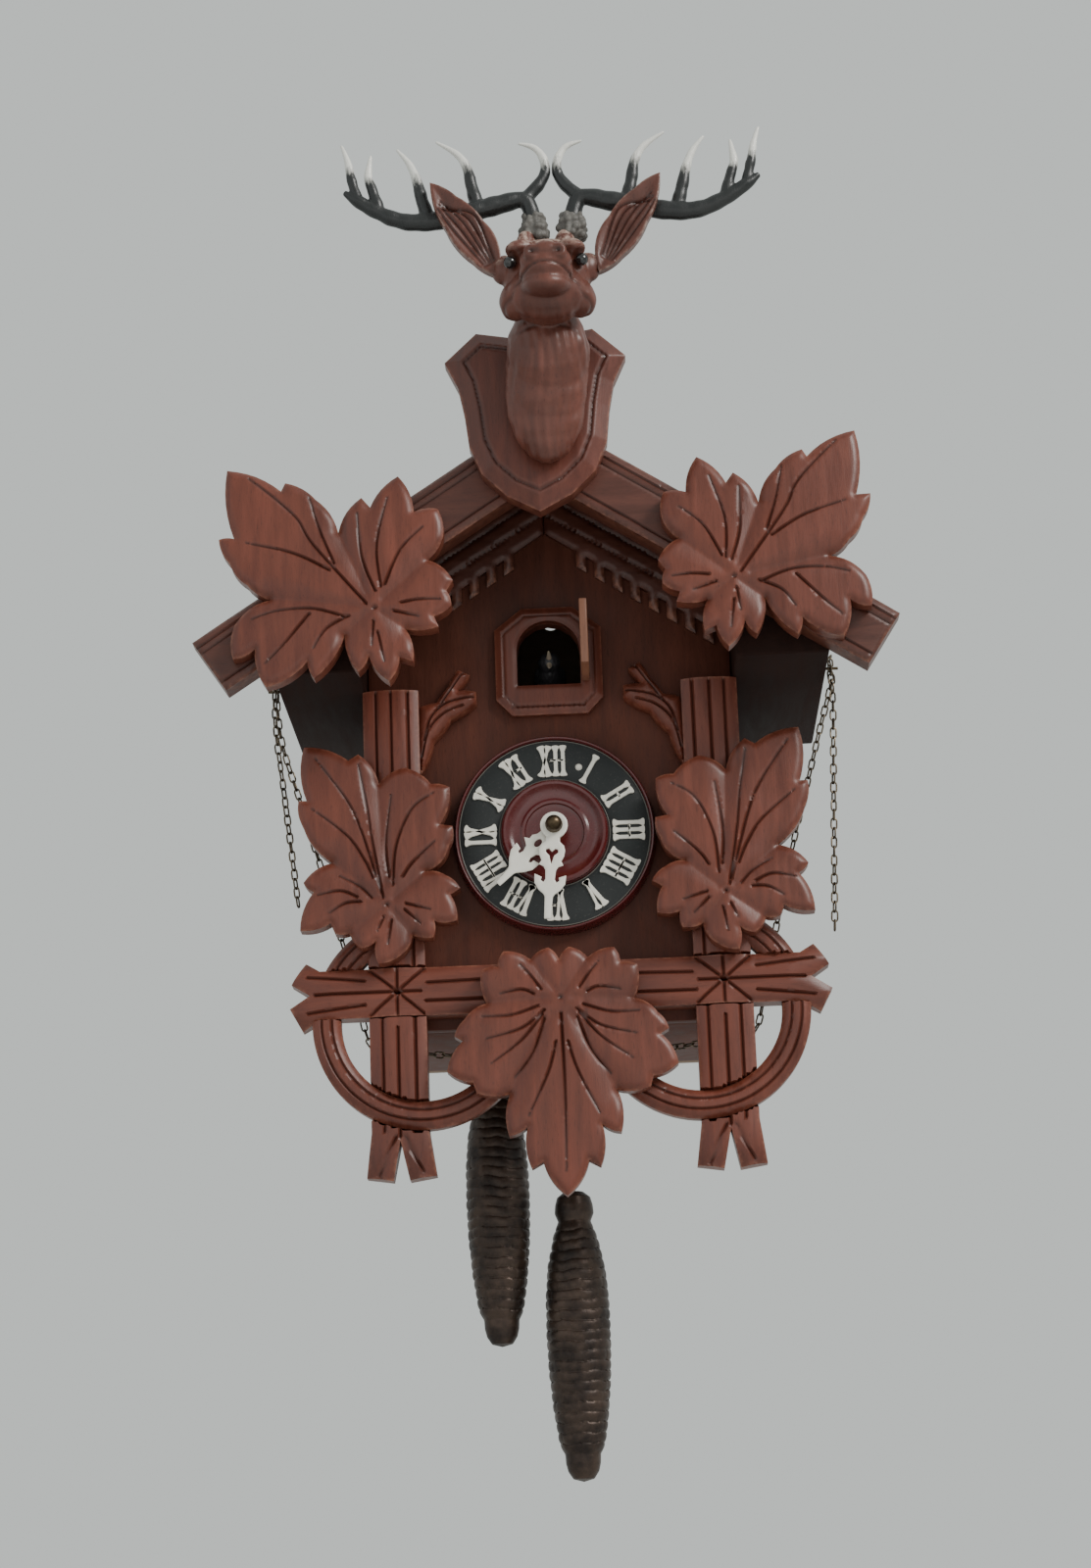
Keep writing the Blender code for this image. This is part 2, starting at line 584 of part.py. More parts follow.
def build_weights():
    """Fir-cone weights, their hooks and the chains they hang from."""
    cone = [(0, 0), (5, -0.3), (9.5, -7), (9.8, -11), (8.2, -15), (11.2, -24), (14.2, -38),
            (15.6, -54), (15.8, -72), (15.2, -90), (13.6, -108), (11.2, -124), (8.8, -130),
            (8.0, -136), (5.2, -141.6), (0, -143)]
    for side, x in WHEEL_X.items():
        strand = x - CHAIN_PITCH_R
        top = WEIGHT_TOP[side]
        turned("weight_" + side, cone, at(strand, CHAIN_Y, top), "Z", IRON, 24)
        hook = [(strand, CHAIN_Y, top + GAP), (strand, CHAIN_Y, top + 5),
                (strand + 3, CHAIN_Y, top + 8), (strand + 2.4, CHAIN_Y, top + 11.5),
                (strand - 0.6, CHAIN_Y, top + 12.4)]
        tube("weight_hook_" + side, hook, STEEL, 1.0)
        tube("weight_chain_" + side, [(strand, CHAIN_Y, top + 14), (strand, CHAIN_Y, WHEEL_H - 1)],
             STEEL, CHAIN_R)


def build_free_chains():
    """The chains' free ends: over the wheel, out under the case and over the eave's nail."""
    for side, sign in (("left", -1), ("right", 1)):
        x = WHEEL_X[side]
        over = []
        for step in range(9):
            angle = math.pi - math.pi * step / 8
            over.append((x + CHAIN_PITCH_R * math.cos(angle), CHAIN_Y,
                         WHEEL_H + 0.3 + CHAIN_PITCH_R * math.sin(angle)))
        down = x + CHAIN_PITCH_R
        outside = sign * (ROOF_END[side] + CHAIN_R + 1)
        route = FREE_CHAIN if sign > 0 else flip(FREE_CHAIN)
        if sign < 0:
            route = [(down, CHAIN_Y, -88), (down - 2, CHAIN_Y - 2, -99),
                     (-24, -69, -103), (-36, -74, -103), *route[2:]]
        end_x, end_height = TAIL_END[side]
        tail = [(outside + (end_x - outside) * part, -124, 60 + (end_height - 60) * part)
                for part in (0.33, 0.67, 1)]
        hung = [(outside, y, height) for y, height in OVER_NAIL]
        route = [*over, (down, CHAIN_Y, -50), *route, *hung, *tail]
        tube("free_chain_" + side, smooth_route(route, CHAIN_STEP), STEEL, CHAIN_R)
        nail = [(sign * (ROOF_END[side] + GAP), *NAIL), (sign * (ROOF_END[side] + 7), *NAIL)]
        tube("chain_nail_" + side, nail, STEEL, 0.8)


def build_stag():
    half = SHIELD_HALF
    outline = half + flip(half[-2:0:-1])
    plate("shield", [outline], BARGE_FRONT - GAP - 14.5, 14.5, WOOD)
    mesh = bpy.data.meshes.new("stag_head")
    shape = bmesh.new()
    rings = []
    for y, height, wide, high in STAG:
        ring = []
        lean = HEAD_X * min(1.0, (-195.3 - y) / 30)
        for side in range(STAG_SIDES):
            angle = 2 * math.pi * side / STAG_SIDES
            ring.append(shape.verts.new(at(lean + wide * math.cos(angle), y,
                                           height + high * math.sin(angle))))
        rings.append(ring)
    for near, far in zip(rings, rings[1:]):
        for i in range(STAG_SIDES):
            j = (i + 1) % STAG_SIDES
            shape.faces.new((near[i], near[j], far[j], far[i]))
    shape.faces.new(rings[0])
    shape.faces.new(rings[-1])
    bmesh.ops.recalc_face_normals(shape, faces=shape.faces)
    shape.to_mesh(mesh)
    shape.free()
    mesh_object("stag_head", mesh, WOOD)
    for side, sign in (("left", -1), ("right", 1)):
        ear = [(sign * (x + 2.5) + EAR_X, height) for x, height in EAR]
        plate("ear_" + side, [ear], -235.0, 4.5, WOOD)
        antler = None
        for run in [BEAM, *TINES]:
            points = [(sign * x + ANTLER_X, ANTLER_Y - ANTLER_LEAN * x, height, radius)
                      for x, height, radius in run]
            piece = tube("antler_" + side, points, HORN)
            antler = combine(antler, piece, "UNION") if antler else piece
        antler.name = "antler_" + side


build_case()
build_dentils()
build_logs()
build_leaves()
build_doorway()
build_dial()
build_motion_work()
build_movement()
build_weights()
build_free_chains()
build_stag()
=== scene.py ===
"""Looks of the cuckoo clock: carved wood, dial, chains, weights, camera and light.

Lengths are millimetres in the tables; heights are counted from the centre of the dial.
"""

import math

import bmesh
import bpy
import numpy as np
from mathutils import Matrix, Vector
from mathutils.geometry import delaunay_2d_cdt


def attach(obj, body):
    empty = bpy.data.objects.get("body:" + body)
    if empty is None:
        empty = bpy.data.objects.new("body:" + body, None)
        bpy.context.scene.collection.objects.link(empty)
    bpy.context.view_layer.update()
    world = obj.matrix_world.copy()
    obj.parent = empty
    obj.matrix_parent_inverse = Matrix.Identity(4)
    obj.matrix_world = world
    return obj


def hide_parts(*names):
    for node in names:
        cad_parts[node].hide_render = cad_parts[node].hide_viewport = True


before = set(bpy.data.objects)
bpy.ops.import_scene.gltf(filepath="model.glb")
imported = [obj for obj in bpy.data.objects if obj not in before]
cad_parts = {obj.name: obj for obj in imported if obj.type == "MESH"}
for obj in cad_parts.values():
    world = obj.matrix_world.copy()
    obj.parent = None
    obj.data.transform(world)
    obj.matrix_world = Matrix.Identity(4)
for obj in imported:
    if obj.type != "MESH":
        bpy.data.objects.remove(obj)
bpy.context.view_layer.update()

MM = 0.001
DIAL_Z = -150.0
# planes along the clock's depth; the front is towards negative y
BOARD_PLANE, LOG_PLANE, LEAF_PLANE = -118.3, -133.0, -133.3
BARGE_PLANE, BARGE_BACK, ROOF_LEAF_PLANE = -180.0, -165.0, -180.3


def at(x, y, height):
    """A point of the clock, in metres, from millimetres and a height above the dial."""
    return Vector((x, y, height + DIAL_Z)) * MM


# ---------------------------------------------------------------- camera

PITCH, YAW, ROLL = (math.radians(a) for a in (15.36, 1.12, 2.1))
data = bpy.data.cameras.new("camera")
data.lens = 73.1
data.sensor_width = 36.0
data.clip_start, data.clip_end = 0.1, 20.0
camera = bpy.data.objects.new("camera", data)
bpy.context.scene.collection.objects.link(camera)
bpy.context.scene.camera = camera
ahead = Vector((-math.sin(YAW) * math.cos(PITCH), math.cos(YAW) * math.cos(PITCH),
                math.sin(PITCH)))
level = Vector((math.cos(YAW), math.sin(YAW), 0))
above = level.cross(ahead)
right = level * math.cos(ROLL) - above * math.sin(ROLL)
upward = level * math.sin(ROLL) + above * math.cos(ROLL)
turn = Matrix((right, upward, -ahead)).transposed().to_4x4()
camera.matrix_world = Matrix.Translation((0.0263, -1.660, -0.5463)) @ turn


# ---------------------------------------------------------------- materials

class Nodes:
    """A small helper that wires a material's nodes."""

    def __init__(self, name):
        self.mat = bpy.data.materials.new(name)
        self.mat.use_nodes = True
        self.tree = self.mat.node_tree
        self.shader = self.tree.nodes["Principled BSDF"]
        coord = self.tree.nodes.new("ShaderNodeTexCoord")
        self.place = coord.outputs["Object"]

    def node(self, kind, inputs=(), **settings):
        made = self.tree.nodes.new(kind)
        for key, value in settings.items():
            setattr(made, key, value)
        for key, value in dict(inputs).items():
            if isinstance(value, bpy.types.NodeSocket):
                self.tree.links.new(value, made.inputs[key])
            else:
                made.inputs[key].default_value = value
        return made

    def scaled(self, scale, turn=(0, 0, 0)):
        return self.node("ShaderNodeMapping", {"Vector": self.place, "Scale": scale,
                                               "Rotation": turn}).outputs[0]

    def noise(self, vector, scale, detail=4.0, rough=0.55, distortion=0.0):
        return self.node("ShaderNodeTexNoise", {
            "Vector": vector, "Scale": scale, "Detail": detail, "Roughness": rough,
            "Distortion": distortion}).outputs["Fac"]

    def ramp(self, factor, stops):
        made = self.node("ShaderNodeValToRGB", {"Fac": factor})
        ramp = made.color_ramp
        while len(ramp.elements) < len(stops):
            ramp.elements.new(0.5)
        for element, (where, colour) in zip(ramp.elements, stops):
            element.position = where
            value = colour if isinstance(colour, tuple) else (colour, colour, colour)
            element.color = (*value, 1)
        return made.outputs["Color"]

    def mix(self, factor, a, b, blend="MIX"):
        made = self.node("ShaderNodeMix", data_type="RGBA", blend_type=blend)
        for index, value in ((0, factor), (6, a), (7, b)):
            socket = made.inputs[index]
            if isinstance(value, bpy.types.NodeSocket):
                self.tree.links.new(value, socket)
            elif index == 0:
                socket.default_value = value
            else:
                socket.default_value = (*value, 1)
        return made.outputs[2]

    def math(self, operation, a, b=0.5):
        return self.node("ShaderNodeMath", {0: a, 1: b}, operation=operation).outputs[0]

    def set(self, **sockets):
        for key, value in sockets.items():
            socket = self.shader.inputs[key.replace("_", " ")]
            if isinstance(value, bpy.types.NodeSocket):
                self.tree.links.new(value, socket)
            else:
                socket.default_value = (*value, 1) if isinstance(value, tuple) else value

    def bump(self, height, distance, strength=1.0, under=None):
        inputs = {"Height": height, "Distance": distance, "Strength": strength}
        if under is not None:
            inputs["Normal"] = under
        return self.node("ShaderNodeBump", inputs).outputs["Normal"]


def wood(name, dark, light, grain=(60, 60, 7), turn=(0, 0, 0), rough=0.42, worn=(0.36, 0.15, 0.09),
         shine=0.5):
    """Stained wood: streaks along the grain, painted shade in the grooves and hollows, and a pale colour
    on rubbed edges, which on the stag's head also paints a sheen.
    """
    n = Nodes(name)
    along = n.scaled(grain, turn)
    streak = n.noise(along, 3.0, 8.0, 0.62, 0.4)
    cloud = n.noise(n.place, 18.0, 3.0)
    middle = tuple(0.35 * a + 0.65 * b for a, b in zip(dark, light))
    tone = n.ramp(streak, [(0.25, tuple((a + b) / 2 for a, b in zip(dark, middle))),
                           (0.5, middle), (0.75, light)])
    patch = n.ramp(cloud, [(0.3, 0.82), (0.7, 1.12)])
    tone = n.mix(1.0, tone, patch, "MULTIPLY")
    pores = n.noise(n.scaled(tuple(g * 5 for g in grain), turn), 6.0, 3.0, 0.6)
    tone = n.mix(n.ramp(pores, [(0.58, 0.0), (0.72, 0.4)]), tone, tuple(c * 0.35 for c in dark))
    # painted shade: a per-vertex value darkens grooves, hollows and shaded undersides towards near black
    carve = n.node("ShaderNodeAttribute", attribute_name="carve").outputs["Fac"]
    tone = n.mix(n.ramp(carve, [(0.0, 0.0), (1.0, 0.8)]), tone, tuple(c * 0.2 for c in dark))
    # pale colour for rubbed edges; on the stag's head the same value also paints a sheen on upward faces
    edge = n.node("ShaderNodeAttribute", attribute_name="worn").outputs["Fac"]
    chips = n.ramp(n.noise(n.place, 260.0, 4.0, 0.7), [(0.42, 0.0), (0.62, 1.0)])
    tone = n.mix(n.math("MULTIPLY", edge, chips), tone, worn)
    gloss = n.ramp(streak, [(0.3, rough - 0.08), (0.7, rough + 0.1)])
    fine = n.bump(streak, 0.0004, 0.35)
    fine = n.bump(pores, 0.0002, 0.3, fine)
    n.set(Base_Color=tone, Roughness=gloss, Normal=fine, Specular_IOR_Level=0.8 * shine,
          Coat_Weight=0.2 * shine, Coat_Roughness=0.28)
    return n.mat


def plastic(name, dark, light, rough, coat=0.0, bump=0.15, scale=120.0):
    """Moulded plastic with faint mottling and a little dust."""
    n = Nodes(name)
    cloud = n.noise(n.place, scale, 5.0, 0.6)
    fleck = n.noise(n.place, scale * 9, 3.0, 0.6)
    tone = n.mix(cloud, dark, light)
    dust = n.ramp(fleck, [(0.6, 0.0), (0.75, 0.12)])
    tone = n.mix(dust, tone, (0.3, 0.27, 0.24))
    n.set(Base_Color=tone, Roughness=n.ramp(cloud, [(0.3, rough - 0.06), (0.7, rough + 0.1)]),
          Normal=n.bump(fleck, 0.00015, bump), Coat_Weight=coat, Coat_Roughness=0.15)
    return n.mat


def metal(name, dark, light, rough, metallic=1.0, bump=0.25, scale=200.0):
    """Metal with stains, fine scratches and a rougher tarnish."""
    n = Nodes(name)
    stain = n.noise(n.place, scale, 6.0, 0.65)
    grit = n.noise(n.place, scale * 6, 4.0, 0.6)
    tone = n.mix(n.ramp(stain, [(0.35, 0.0), (0.65, 1.0)]), dark, light)
    n.set(Base_Color=tone, Metallic=metallic,
          Roughness=n.ramp(stain, [(0.3, rough + 0.12), (0.7, rough - 0.06)]),
          Normal=n.bump(grit, 0.0002, bump))
    return n.mat


UP = (60, 60, 7)
ACROSS = (7, 60, 60)
RED_DARK, RED_LIGHT = (0.042, 0.009, 0.005), (0.170, 0.042, 0.023)
BROWN_DARK, BROWN_LIGHT = (0.036, 0.010, 0.006), (0.115, 0.034, 0.020)
LEAF_WOOD = wood("leaf_wood", RED_DARK, RED_LIGHT, UP)
LOG_WOOD = wood("log_wood", RED_DARK, RED_LIGHT, UP)
BAR_WOOD = wood("bar_wood", RED_DARK, RED_LIGHT, ACROSS)
BOARD_WOOD = wood("board_wood", BROWN_DARK, BROWN_LIGHT, UP, rough=0.6, shine=0.25)
# The roof boards are coloured almost black: painted shade for the dark underside of the roof.
ROOF_WOOD_PAINTED_SHADE = wood("roof_wood_painted_shade", (0.010, 0.005, 0.004), (0.030, 0.013, 0.010), (60, 7, 60),
                 rough=0.75, shine=0.1)
SLOPE_WOOD = {side: wood("slope_wood_" + side, (0.030, 0.008, 0.005), (0.115, 0.033, 0.020),
                         ACROSS, (0, sign * math.atan(0.652), 0))
              for side, sign in (("left", 1), ("right", -1))}
SHIELD_WOOD = wood("shield_wood", (0.036, 0.009, 0.006), (0.135, 0.036, 0.022), UP)
# Its pale colour marks rubbed edges, and on the head's upward faces a painted sheen.
HEAD_WOOD = wood("head_wood", (0.038, 0.011, 0.007), (0.150, 0.046, 0.030), (40, 14, 14),
                 worn=(0.46, 0.34, 0.28))
DOOR_WOOD = wood("door_wood", (0.12, 0.045, 0.025), (0.30, 0.13, 0.075), UP)
PLY = wood("ply", (0.14, 0.085, 0.055), (0.30, 0.20, 0.135), ACROSS, rough=0.7)
MAROON = plastic("maroon_plastic", (0.060, 0.006, 0.007), (0.105, 0.012, 0.012), 0.24, 0.4)
CHAPTER = plastic("chapter_plastic", (0.003, 0.005, 0.005), (0.007, 0.010, 0.010), 0.55)
CHAPTER_EDGE = plastic("chapter_edge", (0.09, 0.08, 0.07), (0.15, 0.14, 0.12), 0.4)
IVORY = plastic("ivory_plastic", (0.66, 0.63, 0.55), (0.80, 0.77, 0.69), 0.34, 0.1, 0.1)
BURR = plastic("antler_burr", (0.03, 0.03, 0.028), (0.20, 0.185, 0.165), 0.55, 0.0, 0.8, 300.0)
IRON = metal("cast_iron", (0.016, 0.010, 0.008), (0.060, 0.038, 0.027), 0.40, 0.55, 0.5, 90.0)
CHAIN = metal("chain_wire", (0.045, 0.034, 0.024), (0.20, 0.16, 0.11), 0.36, 0.9)
BRASS = metal("brass", (0.42, 0.27, 0.09), (0.66, 0.46, 0.18), 0.3, 1.0, 0.15)
DARK_BRASS = metal("dark_brass", (0.05, 0.035, 0.02), (0.12, 0.085, 0.05), 0.35, 0.9)
FEATHER = plastic("bird_paint", (0.012, 0.012, 0.014), (0.05, 0.045, 0.05), 0.45, 0.1, 0.5)
BEAK = plastic("bird_beak", (0.45, 0.36, 0.26), (0.62, 0.52, 0.40), 0.4)
EYE = plastic("eye_black", (0.004, 0.004, 0.004), (0.008, 0.008, 0.008), 0.08, 0.6, 0.02)


# ---------------------------------------------------------------- shaping helpers

def piece(name, mesh, finish, body, *nodes, smooth=40):
    """A finished mesh piece on a body, in place of the CAD nodes it stands for."""
    made = bpy.data.objects.new(name, mesh)
    bpy.context.scene.collection.objects.link(made)
    for mat in finish if isinstance(finish, (list, tuple)) else [finish]:
        mesh.materials.append(mat)
    mesh.shade_smooth()
    if smooth:
        mesh.set_sharp_from_angle(angle=math.radians(smooth))
    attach(made, body)
    if nodes:
        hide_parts(*nodes)
    return made


def resample(points, step, closed=False):
    """Points about step apart along a run of points."""
    out = []
    pairs = list(zip(points, points[1:] + points[:1] if closed else points[1:]))
    for a, b in pairs:
        a, b = np.array(a, float), np.array(b, float)
        count = max(1, int(round(np.linalg.norm(b - a) / step)))
        out += [tuple(a + (b - a) * k / count) for k in range(count)]
    if not closed:
        out.append(tuple(float(v) for v in points[-1]))
    return out


def distance(points, line, closed=False):
    """Distance of each 2D point from a run of segments, and how far along it that is."""
    points = np.asarray(points, float)
    ends = line[1:] + line[:1] if closed else line[1:]
    best = np.full(len(points), 1e9)
    along = np.zeros(len(points))
    total = max(sum(math.dist(a, b) for a, b in zip(line, ends)), 1e-9)
    before = 0.0
    for a, b in zip(line, ends):
        a, b = np.array(a, float), np.array(b, float)
        ab = b - a
        size = max(float(ab @ ab), 1e-12)
        t = np.clip((points - a) @ ab / size, 0, 1)
        d = np.linalg.norm(points - (a + t[:, None] * ab), axis=1)
        near = d < best
        best = np.where(near, d, best)
        along = np.where(near, (before + t * math.sqrt(size)) / total, along)
        before += math.sqrt(size)
    return best, along


def inside(points, outline):
    """Which points lie inside a closed outline."""
    points = np.asarray(points, float)
    x, y = points[:, 0], points[:, 1]
    within = np.zeros(len(points), bool)
    for (x0, y0), (x1, y1) in zip(outline, outline[1:] + outline[:1]):
        crosses = (y0 > y) != (y1 > y)
        slope = (x1 - x0) * (y - y0) / ((y1 - y0) if y1 != y0 else 1e-12) + x0
        within ^= crosses & (x < slope)
    return within


def crease_rows(creases, step):
    """Points along each crease and along both of its sides."""
    rows = []
    for line, width in creases:
        dense = np.array(resample(line, step * 0.9))
        if len(dense) < 2:
            continue
        way = np.gradient(dense, axis=0)
        way /= np.maximum(np.linalg.norm(way, axis=1, keepdims=True), 1e-9)
        side = np.stack([-way[:, 1], way[:, 0]], axis=1)
        rows += [tuple(p) for p in dense]
        rows += [tuple(p) for p in dense + side * width]
        rows += [tuple(p) for p in dense - side * width]
    return rows


def scattered(outlines, rows, step):
    """The rows and an even grid of points, inside the outline and clear of its rims."""
    low = np.min(outlines[0], axis=0)
    high = np.max(outlines[0], axis=0)
    grid = []
    for j, y in enumerate(np.arange(low[1], high[1], step * 0.87)):
        for x in np.arange(low[0] + (j % 2) * step / 2, high[0], step):
            grid.append((x, y))
    candidates = np.array(rows + grid)
    keep = inside(candidates, outlines[0])
    for hole in outlines[1:]:
        keep &= ~inside(candidates, hole)
    for line in outlines:
        keep &= distance(candidates, line, True)[0] > step * 0.45
    placed, cells = [], {}
    for point in candidates[keep]:
        cell = (int(point[0] // (step * 0.5)), int(point[1] // (step * 0.5)))
        close = [q for dx in (-1, 0, 1) for dy in (-1, 0, 1)
                 for q in cells.get((cell[0] + dx, cell[1] + dy), ())]
        if any(math.dist(point, q) < step * 0.5 for q in close):
            continue
        cells.setdefault(cell, []).append(tuple(point))
        placed.append(tuple(point))
    return placed


def triangulated(outlines, rims, placed):
    """Flat triangles between the rims and the placed points, with the holes left open."""
    flat = [p for rim in rims for p in rim] + placed
    edges, start = [], 0
    for rim in rims:
        edges += [(start + i, start + (i + 1) % len(rim)) for i in range(len(rim))]
        start += len(rim)
    kind = 2 if len(rims) > 1 else 1
    verts, _, faces, *_ = delaunay_2d_cdt([Vector(p) for p in flat], edges, [], kind, 1e-5)
    flat = np.array([tuple(v) for v in verts])
    for hole in outlines[1:]:
        middles = np.array([flat[list(face)].mean(axis=0) for face in faces])
        faces = [f for f, out in zip(faces, ~inside(middles, hole)) if out]
    return flat, faces


def carved(name, outlines, front, back, surface, finish, body, *nodes, step=1.2, creases=()):
    """A flat piece whose front is carved.

    outlines are closed (x, height) runs, the first the outside and the others holes.
    surface(points, edge) gives, for each point, how far the front lies behind the front
    plane, how much painted shade it gets and how much wear it shows. creases are runs that get rows of
    points.
    """
    rims = [resample(line, step, True) for line in outlines]
    placed = scattered(outlines, crease_rows(creases, step), step)
    flat, faces = triangulated(outlines, rims, placed)
    border = np.full(len(flat), 1e9)
    for line in outlines:
        border = np.minimum(border, distance(flat, line, True)[0])
    drop, dark, worn = surface(flat, border)
    drop = np.clip(drop, 0, back - front - 0.8)
    count = len(flat)
    shape = bmesh.new()
    top = [shape.verts.new(at(x, front + d, h)) for (x, h), d in zip(flat, drop)]
    shape.verts.ensure_lookup_table()
    for face in faces:
        try:
            shape.faces.new([top[i] for i in reversed(face)])
        except ValueError:
            pass
    open_edges = [e for e in shape.edges if len(e.link_faces) == 1]
    rear = {}
    for edge in open_edges:
        for v in edge.verts:
            if v not in rear:
                rear[v] = shape.verts.new((v.co.x, back * MM, v.co.z))
    for edge in open_edges:
        loop = edge.link_loops[0]
        a, b = loop.vert, loop.link_loop_next.vert
        shape.faces.new([b, a, rear[a], rear[b]])
    rims_back = [e for e in shape.edges if len(e.link_faces) == 1]
    bmesh.ops.triangle_fill(shape, edges=rims_back, use_beauty=False)
    for face in [f for f in shape.faces if f.calc_center_median().y > back * MM - 1e-6]:
        middle = face.calc_center_median() / MM
        if any(inside([(middle.x, middle.z - DIAL_Z)], hole)[0] for hole in outlines[1:]):
            shape.faces.remove(face)
    bmesh.ops.recalc_face_normals(shape, faces=shape.faces)
    mesh = bpy.data.meshes.new(name)
    shape.to_mesh(mesh)
    extra = len(shape.verts) - count
    shape.free()
    # keep the painted shade and the wear on the vertices for the material
    for label, values in (("carve", dark), ("worn", worn)):
        layer = mesh.attributes.new(label, "FLOAT", "POINT")
        layer.data.foreach_set("value", np.concatenate(
            [np.broadcast_to(values, count), np.zeros(extra)]).astype(np.float32))
    return piece(name, mesh, finish, body, *nodes, smooth=38)


def groove(points, line, width, depth, taper=0.0):
    """A V groove along a line: its depth at each point, and how close to its bottom."""
    far, along = distance(points, line)
    size = width * (1 - taper * along)
    near = np.clip(1 - far / np.maximum(size, 0.05), 0, 1)
    return near * depth * (1 - taper * along), near


def fade(far, reach):
    """From 1 at no distance down to 0 at reach and beyond."""
    return np.clip(1 - far / reach, 0, 1)


def engrave(drop, points, runs, width, depth, shade, power=1.5, taper=0.0):
    """Cut V grooves along runs into drop, and give the painted shade they put at each point."""
    dark = np.zeros(len(points))
    for run in runs:
        cut, near = groove(points, run, width, depth, taper)
        drop += cut
        dark = np.maximum(dark, shade * near ** power)
    return dark


def wave(points, scale, seed, amount):
    """Smooth uneven waves, as a knife leaves."""
    x, y = points[:, 0] / scale, points[:, 1] / scale
    rng = np.random.default_rng(seed)
    total = np.zeros(len(points))
    for _ in range(5):
        kx, ky = rng.normal(size=2)
        total += np.sin(kx * x * 2 + ky * y * 2 + rng.uniform(0, 6.3))
    return total * amount / 5


# ---------------------------------------------------------------- leaves

TOP_LEAF = [
    (67, 71), (64, 37), (71, 37), (66, 25), (58, 14), (48, 7), (64, -5), (65, -21),
    (55, -17), (50, -35), (31, -24), (28, -32), (14, -12), (8, -30), (3, -23), (-6, -35),
    (-11, -24), (-17, -26), (-14, -10), (-29, -10), (-27, -5), (-35, 0), (-33, 7),
    (-36, 12), (-25, 23), (-32, 33), (-30, 47), (-19, 46), (-12, 64), (1, 49), (5, 54),
    (16, 38), (26, 54), (40, 63), (42, 59),
]
TOP_VEINS = [
    [(3.5, 1.8), (27.4, 31.4), (36.3, 46.5), (57, 66)], [(18, 22), (24.3, 38.3), (29, 55)],
    [(20.4, 19), (37, 28), (58, 34)], [(14, -3.6), (29, 1), (45, 0.4), (56, -3)],
    [(12, -3.5), (22, -9), (28, -18)], [(0.5, -6.4), (1.5, -18)], [(-1.3, -12), (-4, -26)],
    [(-12.4, 1.8), (-21, 3), (-30, 2.7)], [(-5, 11), (-12.4, 27.3), (-23, 38)],
    [(-3.1, 10), (-1.6, 30), (-7, 53)], [(-0.4, 8.2), (5.3, 24.6), (7, 46)],
    [(-9, -2), (-20, -5)], [(30, -2), (42, -16), (50, -24)],
]
TOP_VALLEYS = [(16, 38), (48, 7), (14, -12), (-14, -10), (-25, 23)]
MIDDLE_LEAF = [
    (40, 83), (39, 55), (43, 55), (41, 42), (27, 23), (41, 13), (36, 8), (43, -11),
    (28, -8), (26, -13), (19, -13), (13, -21), (6, -18), (5, -29), (-5, -26), (-11, -19),
    (-12, -15), (-22, -17), (-23, -9), (-34, -9), (-31, 4), (-36, 7), (-29, 14), (-19, 17),
    (-26, 20), (-31, 29), (-33, 39), (-27, 40), (-32, 59), (-23, 61), (-10, 70), (3, 63),
    (13, 78), (18, 75),
]
MIDDLE_VEINS = [
    [(-3.1, 10), (-5, 29.5), (-13, 48), (-24, 56)], [(-1.2, 14), (0, 31), (-3, 56)],
    [(1.9, 3.8), (6.8, 32.6), (9, 50), (13, 72)], [(3, 6.4), (11.8, 37), (19, 54), (34, 76)],
    [(6.8, 14), (11.2, 23.7), (19.3, 35.8), (36, 50)], [(7.5, 3.8), (13, 9.6), (23, 15.5)],
    [(14.9, 4.5), (23, 7.7), (34, 6)], [(13, 1.9), (20.5, 1.3), (28, -3)],
    [(-1.9, -8), (0, -20)], [(1.9, -6.4), (5, -13)], [(-9.3, 0), (-21, -3.4)],
    [(-8.5, -3), (-16, -10)], [(-8, 14), (-13, 21), (-24, 31)],
]
MIDDLE_VALLEYS = [(-19, 17), (27, 23), (19, -13), (-12, -15), (3, 63)]
BOTTOM_LEAF_HALF = [
    (0, -96), (11, -79.5), (16.5, -82.5), (18, -62.5), (27, -66.5), (26, -46), (42, -45),
    (43.5, -40), (56, -34), (48, -19.5), (52, -17), (47, -9), (36, -1), (38, 15),
    (30, 16.5), (27, 24), (14, 20), (5, 25), (0, 19),
]
BOTTOM_VEINS_HALF = [
    [(3, -22), (7, -36), (17, -57)], [(8, -10), (14, -26), (23, -38)],
    [(9, -8), (19, -20), (34, -31)], [(8, -6), (19, -14.5), (36, -19)],
    [(13, 2.4), (19, 4.5), (29, 3)], [(9.5, 4.5), (14, 11), (19, 17)],
    [(11, -4), (24, -8), (38, -8)],
]
BOTTOM_VALLEYS_HALF = [(26, -46), (36, -1), (14, 20)]


def flip(points):
    """The same points on the other side of the clock."""
    return [(-x, *rest) for x, *rest in points]


BOW_PARTS = 6


def bowed(outline, amount=0.09, shortest=7.0):
    """An outline whose longer sides swell outwards between their corners."""
    area = sum(x0 * y1 - x1 * y0 for (x0, y0), (x1, y1) in zip(outline, outline[1:] + outline[:1]))
    sense = 1 if area > 0 else -1
    out = []
    for (x0, y0), (x1, y1) in zip(outline, outline[1:] + outline[:1]):
        dx, dy = x1 - x0, y1 - y0
        long = math.hypot(dx, dy)
        if long < shortest:
            out.append((x0, y0))
            continue
        swell = amount * min(long, 26.0)
        for k in range(BOW_PARTS):
            t = k / BOW_PARTS
            s = 4 * t * (1 - t) * swell * sense
            out.append((x0 + dx * t + dy / long * s, y0 + dy * t - dx / long * s))
    return out


